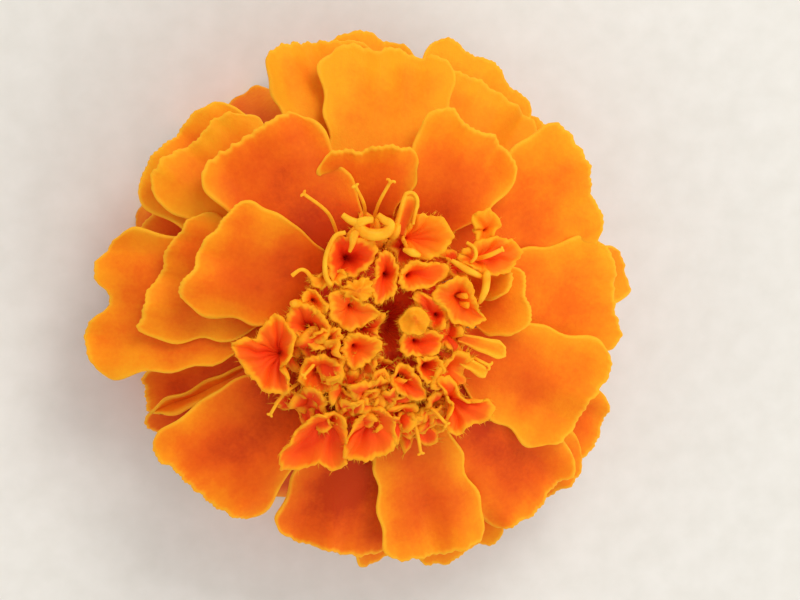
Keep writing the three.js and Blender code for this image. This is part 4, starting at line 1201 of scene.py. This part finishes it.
def floret_tissue():
    """Disc floret tissue: deep red in the throat, orange outside, with a fuzzy yellow margin."""
    material, tree, shader = new_material("marigold_floret_velvet")
    red, rim, inner = (add(tree, "ShaderNodeAttribute", attribute_name=key).outputs["Fac"]
                       for key in ("redness", "rim", "inner"))
    place = add(tree, "ShaderNodeTexCoord").outputs["Object"]
    blotch = add(tree, "ShaderNodeTexNoise", {
        "Vector": place, "Scale": 1 / (FLORET_BLOTCH * MM), "Detail": 3.0})
    depth = add(tree, "ShaderNodeMath", {0: blotch, 1: 0.8, 2: rim}, operation="MULTIPLY_ADD")
    start, full, deep = THROAT_RED
    throat = add(tree, "ShaderNodeMapRange", {"Value": depth, 1: start, 2: full, 3: 0.0, 4: deep})
    warmed = add(tree, "ShaderNodeMath", {0: red, 1: 0.5, 2: throat}, operation="MULTIPLY_ADD")
    within = add(tree, "ShaderNodeValToRGB", {"Fac": warmed}, stops=[
        (0.0, "FF9A14"), (0.3, "FE7A12"), (0.6, "FA5A10"), (0.85, "F0440E"), (1.0, "E2340C")])
    outside = add(tree, "ShaderNodeValToRGB", {"Fac": throat}, stops=[
        (0.0, "FF9C16"), (0.4, "FE7C12"), (0.8, "F4520E")])
    body = add(tree, "ShaderNodeMix", {0: inner, 6: outside, 7: within}, data_type="RGBA")
    uneven = add(tree, "ShaderNodeMath", {0: blotch, 1: 0.9, 2: rim}, operation="MULTIPLY_ADD")
    start, full, pale = FLORET_PALE
    edge = add(tree, "ShaderNodeMapRange", {"Value": uneven, 1: start, 2: full, 3: 0.0, 4: pale},
               interpolation_type="SMOOTHSTEP")
    skin = add(tree, "ShaderNodeMix", {0: edge, 6: body.outputs[2], 7: colour("FFA81C")},
               data_type="RGBA")
    fuzz = add(tree, "ShaderNodeTexNoise", {"Vector": place, "Scale": 1 / (FUZZ * MM), "Detail": 2.0})
    finish_tissue(tree, shader, skin.outputs[2], fuzz, 0.4, 0.6, 0.25, (1.0, 0.5, 0.1))
    return material


def plain_tissue(name, dark, light, grain, stretch, roughness, depth):
    """Plant skin of two near shades, in grains so many millimetres wide and drawn out upwards."""
    material, tree, shader = new_material(name)
    place = add(tree, "ShaderNodeTexCoord").outputs["Object"]
    width = grain * MM
    streaks = add(tree, "ShaderNodeMapping", {
        "Vector": place, "Scale": (1 / width, 1 / width, 1 / (width * stretch))})
    streak = add(tree, "ShaderNodeTexNoise", {"Vector": streaks, "Scale": 1.0, "Detail": 3.0})
    skin = add(tree, "ShaderNodeValToRGB", {"Fac": streak}, stops=[(0.3, dark), (0.7, light)])
    finish_tissue(tree, shader, skin, streak, 0.3, roughness, 0.12, depth)
    return material


# ---------------------------------------------------------------- camera, floor, light
CAMERA_TILT = 13.0  # degrees away from straight down
CAMERA_SIDE = 154.5  # bearing that the camera leans towards
CAMERA_DISTANCE = 300.0
LENS = 147.0
SENSOR = 36.0
PICTURE_WIDTH = 800
AIM_HEIGHT = 11.0
AIM_RIGHT = 43.0  # pixels of the picture that the flower sits left of the middle
CARD_SIDE = 3000
CARD_GRAIN = 2.5  # its fibres are too fine to show: drawn coarser
LIT_HEIGHT = 12  # the soft boxes face the axis at this height
SOFT_BOXES = {
    "key_light": dict(place=(120, 330, 400), side=260, power=1.18, tint=(1.0, 0.98, 0.94)),
    "fill_light": dict(place=(280, -260, 330), side=320, power=0.65, tint=(1.0, 0.98, 0.95)),
    "side_light": dict(place=(-380, -60, 200), side=260, power=0.15, tint=(1.0, 0.99, 0.97)),
}
ROOM_LIGHT = 0.72


def place_camera():
    """The camera, looking down on the flower's face and a little from one side."""
    tilt, side = math.radians(CAMERA_TILT), math.radians(CAMERA_SIDE)
    back = Vector((math.sin(tilt) * math.cos(side), math.sin(tilt) * math.sin(side), math.cos(tilt)))
    right = Vector((0, 1, 0)).cross(back).normalized()
    up = back.cross(right)
    pixel = CAMERA_DISTANCE / (PICTURE_WIDTH * LENS / SENSOR)
    aim = Vector((HEAD_AXIS[0], HEAD_AXIS[1], AIM_HEIGHT)) + right * AIM_RIGHT * pixel
    camera = put_in_scene("camera", bpy.data.cameras.new("camera"))
    camera.data.lens = LENS
    camera.data.sensor_width = SENSOR
    camera.data.clip_start = 0.01
    turn = Matrix((right, up, back)).transposed().to_4x4()
    camera.matrix_world = Matrix.Translation((aim + back * CAMERA_DISTANCE) * MM) @ turn
    bpy.context.scene.camera = camera


def soft_light(name, place, side, power, tint):
    """A square soft box at place (mm), facing the flower."""
    lamp = bpy.data.lights.new(name, "AREA")
    lamp.size = side * MM
    lamp.energy = power
    lamp.color = tint
    box = put_in_scene(name, lamp)
    box.location = Vector(place) * MM
    facing = Vector((0, 0, LIT_HEIGHT)) - Vector(place)
    box.rotation_euler = facing.to_track_quat("-Z", "Y").to_euler()


def paper_card():
    """Paper board for the flower to lie on: matt, off white, faintly mottled."""
    material, tree, shader = new_material("studio_card")
    place = add(tree, "ShaderNodeTexCoord").outputs["Object"]
    grain = add(tree, "ShaderNodeTexNoise", {
        "Vector": place, "Scale": 1 / (CARD_GRAIN * MM), "Detail": 4.0})
    shade = add(tree, "ShaderNodeValToRGB", {"Fac": grain}, stops=[(0.3, "E2E0DA"), (0.7, "E8E6E1")])
    fill(tree, shader, {"Base Color": shade, "Roughness": 0.85})
    return material


def stage():
    """The card under the flower, the soft boxes and the light of the room."""
    half = CARD_SIDE / 2 * MM
    corners = [(-half, -half, 0), (half, -half, 0), (half, half, 0), (-half, half, 0)]
    make_piece("floor", paper_card(), corners, [(0, 1, 2, 3)])
    for name, box in SOFT_BOXES.items():
        soft_light(name, **box)
    world = bpy.data.worlds.new("studio")
    world.use_nodes = True
    fill(world.node_tree, world.node_tree.nodes["Background"], {
        "Color": colour("F2F0EC"), "Strength": ROOM_LIGHT})
    bpy.context.scene.world = world
    bpy.context.scene.view_settings.view_transform = "Standard"


place_camera()
stage()
PETAL = petal_tissue()
FLORET = floret_tissue()
# Style: waxy, clearer yellow than the florets
STYLE = plain_tissue("marigold_style_wax", "FF9C18", "FFBE2A", 1.2, 1, 0.45, (1.0, 0.5, 0.08))
# Floret tubes in the crest's depth: deep red, hardly seen
TUBE = plain_tissue("marigold_tube_tissue", "DC300C", "F2500E", 0.8, 4, 0.6, (1.0, 0.2, 0.05))
# Claws and tubes of the petals: pale orange, softly streaked
CLAW = plain_tissue("marigold_claw_tissue", "EC7A16", "F6962A", 0.8, 5, 0.55, (1.0, 0.4, 0.1))
# Bracts and stalk: fresh green skin with a waxy bloom, and darker oil glands let into it
BRACT = plain_tissue("marigold_bract_green", "4F7A2A", "7C9E48", 1.1, 7, 0.5, (0.3, 0.6, 0.1))
STALK = plain_tissue("marigold_stalk_green", "5E8434", "8FAE5A", 0.9, 9, 0.5, (0.3, 0.6, 0.1))
GLAND = plain_tissue("marigold_oil_gland", "6E5A1C", "8E7426", 0.4, 1, 0.3, (0.5, 0.4, 0.1))

for step, (name, (petals, root, ruffle, grid, _)) in enumerate(WHORLS.items(), 2):
    petal_layer(name, petals, root, ruffle, grid, SEED + step, PETAL)
small_florets(open_florets(FLORET), FLORET)
crest_core(TUBE)
STRAND_TREE = strand_tree()
styles(STRAND_TREE, STYLE)
ray_tubes(STRAND_TREE, CLAW)
oil_glands(involucre(BRACT), GLAND)
stem(STALK)
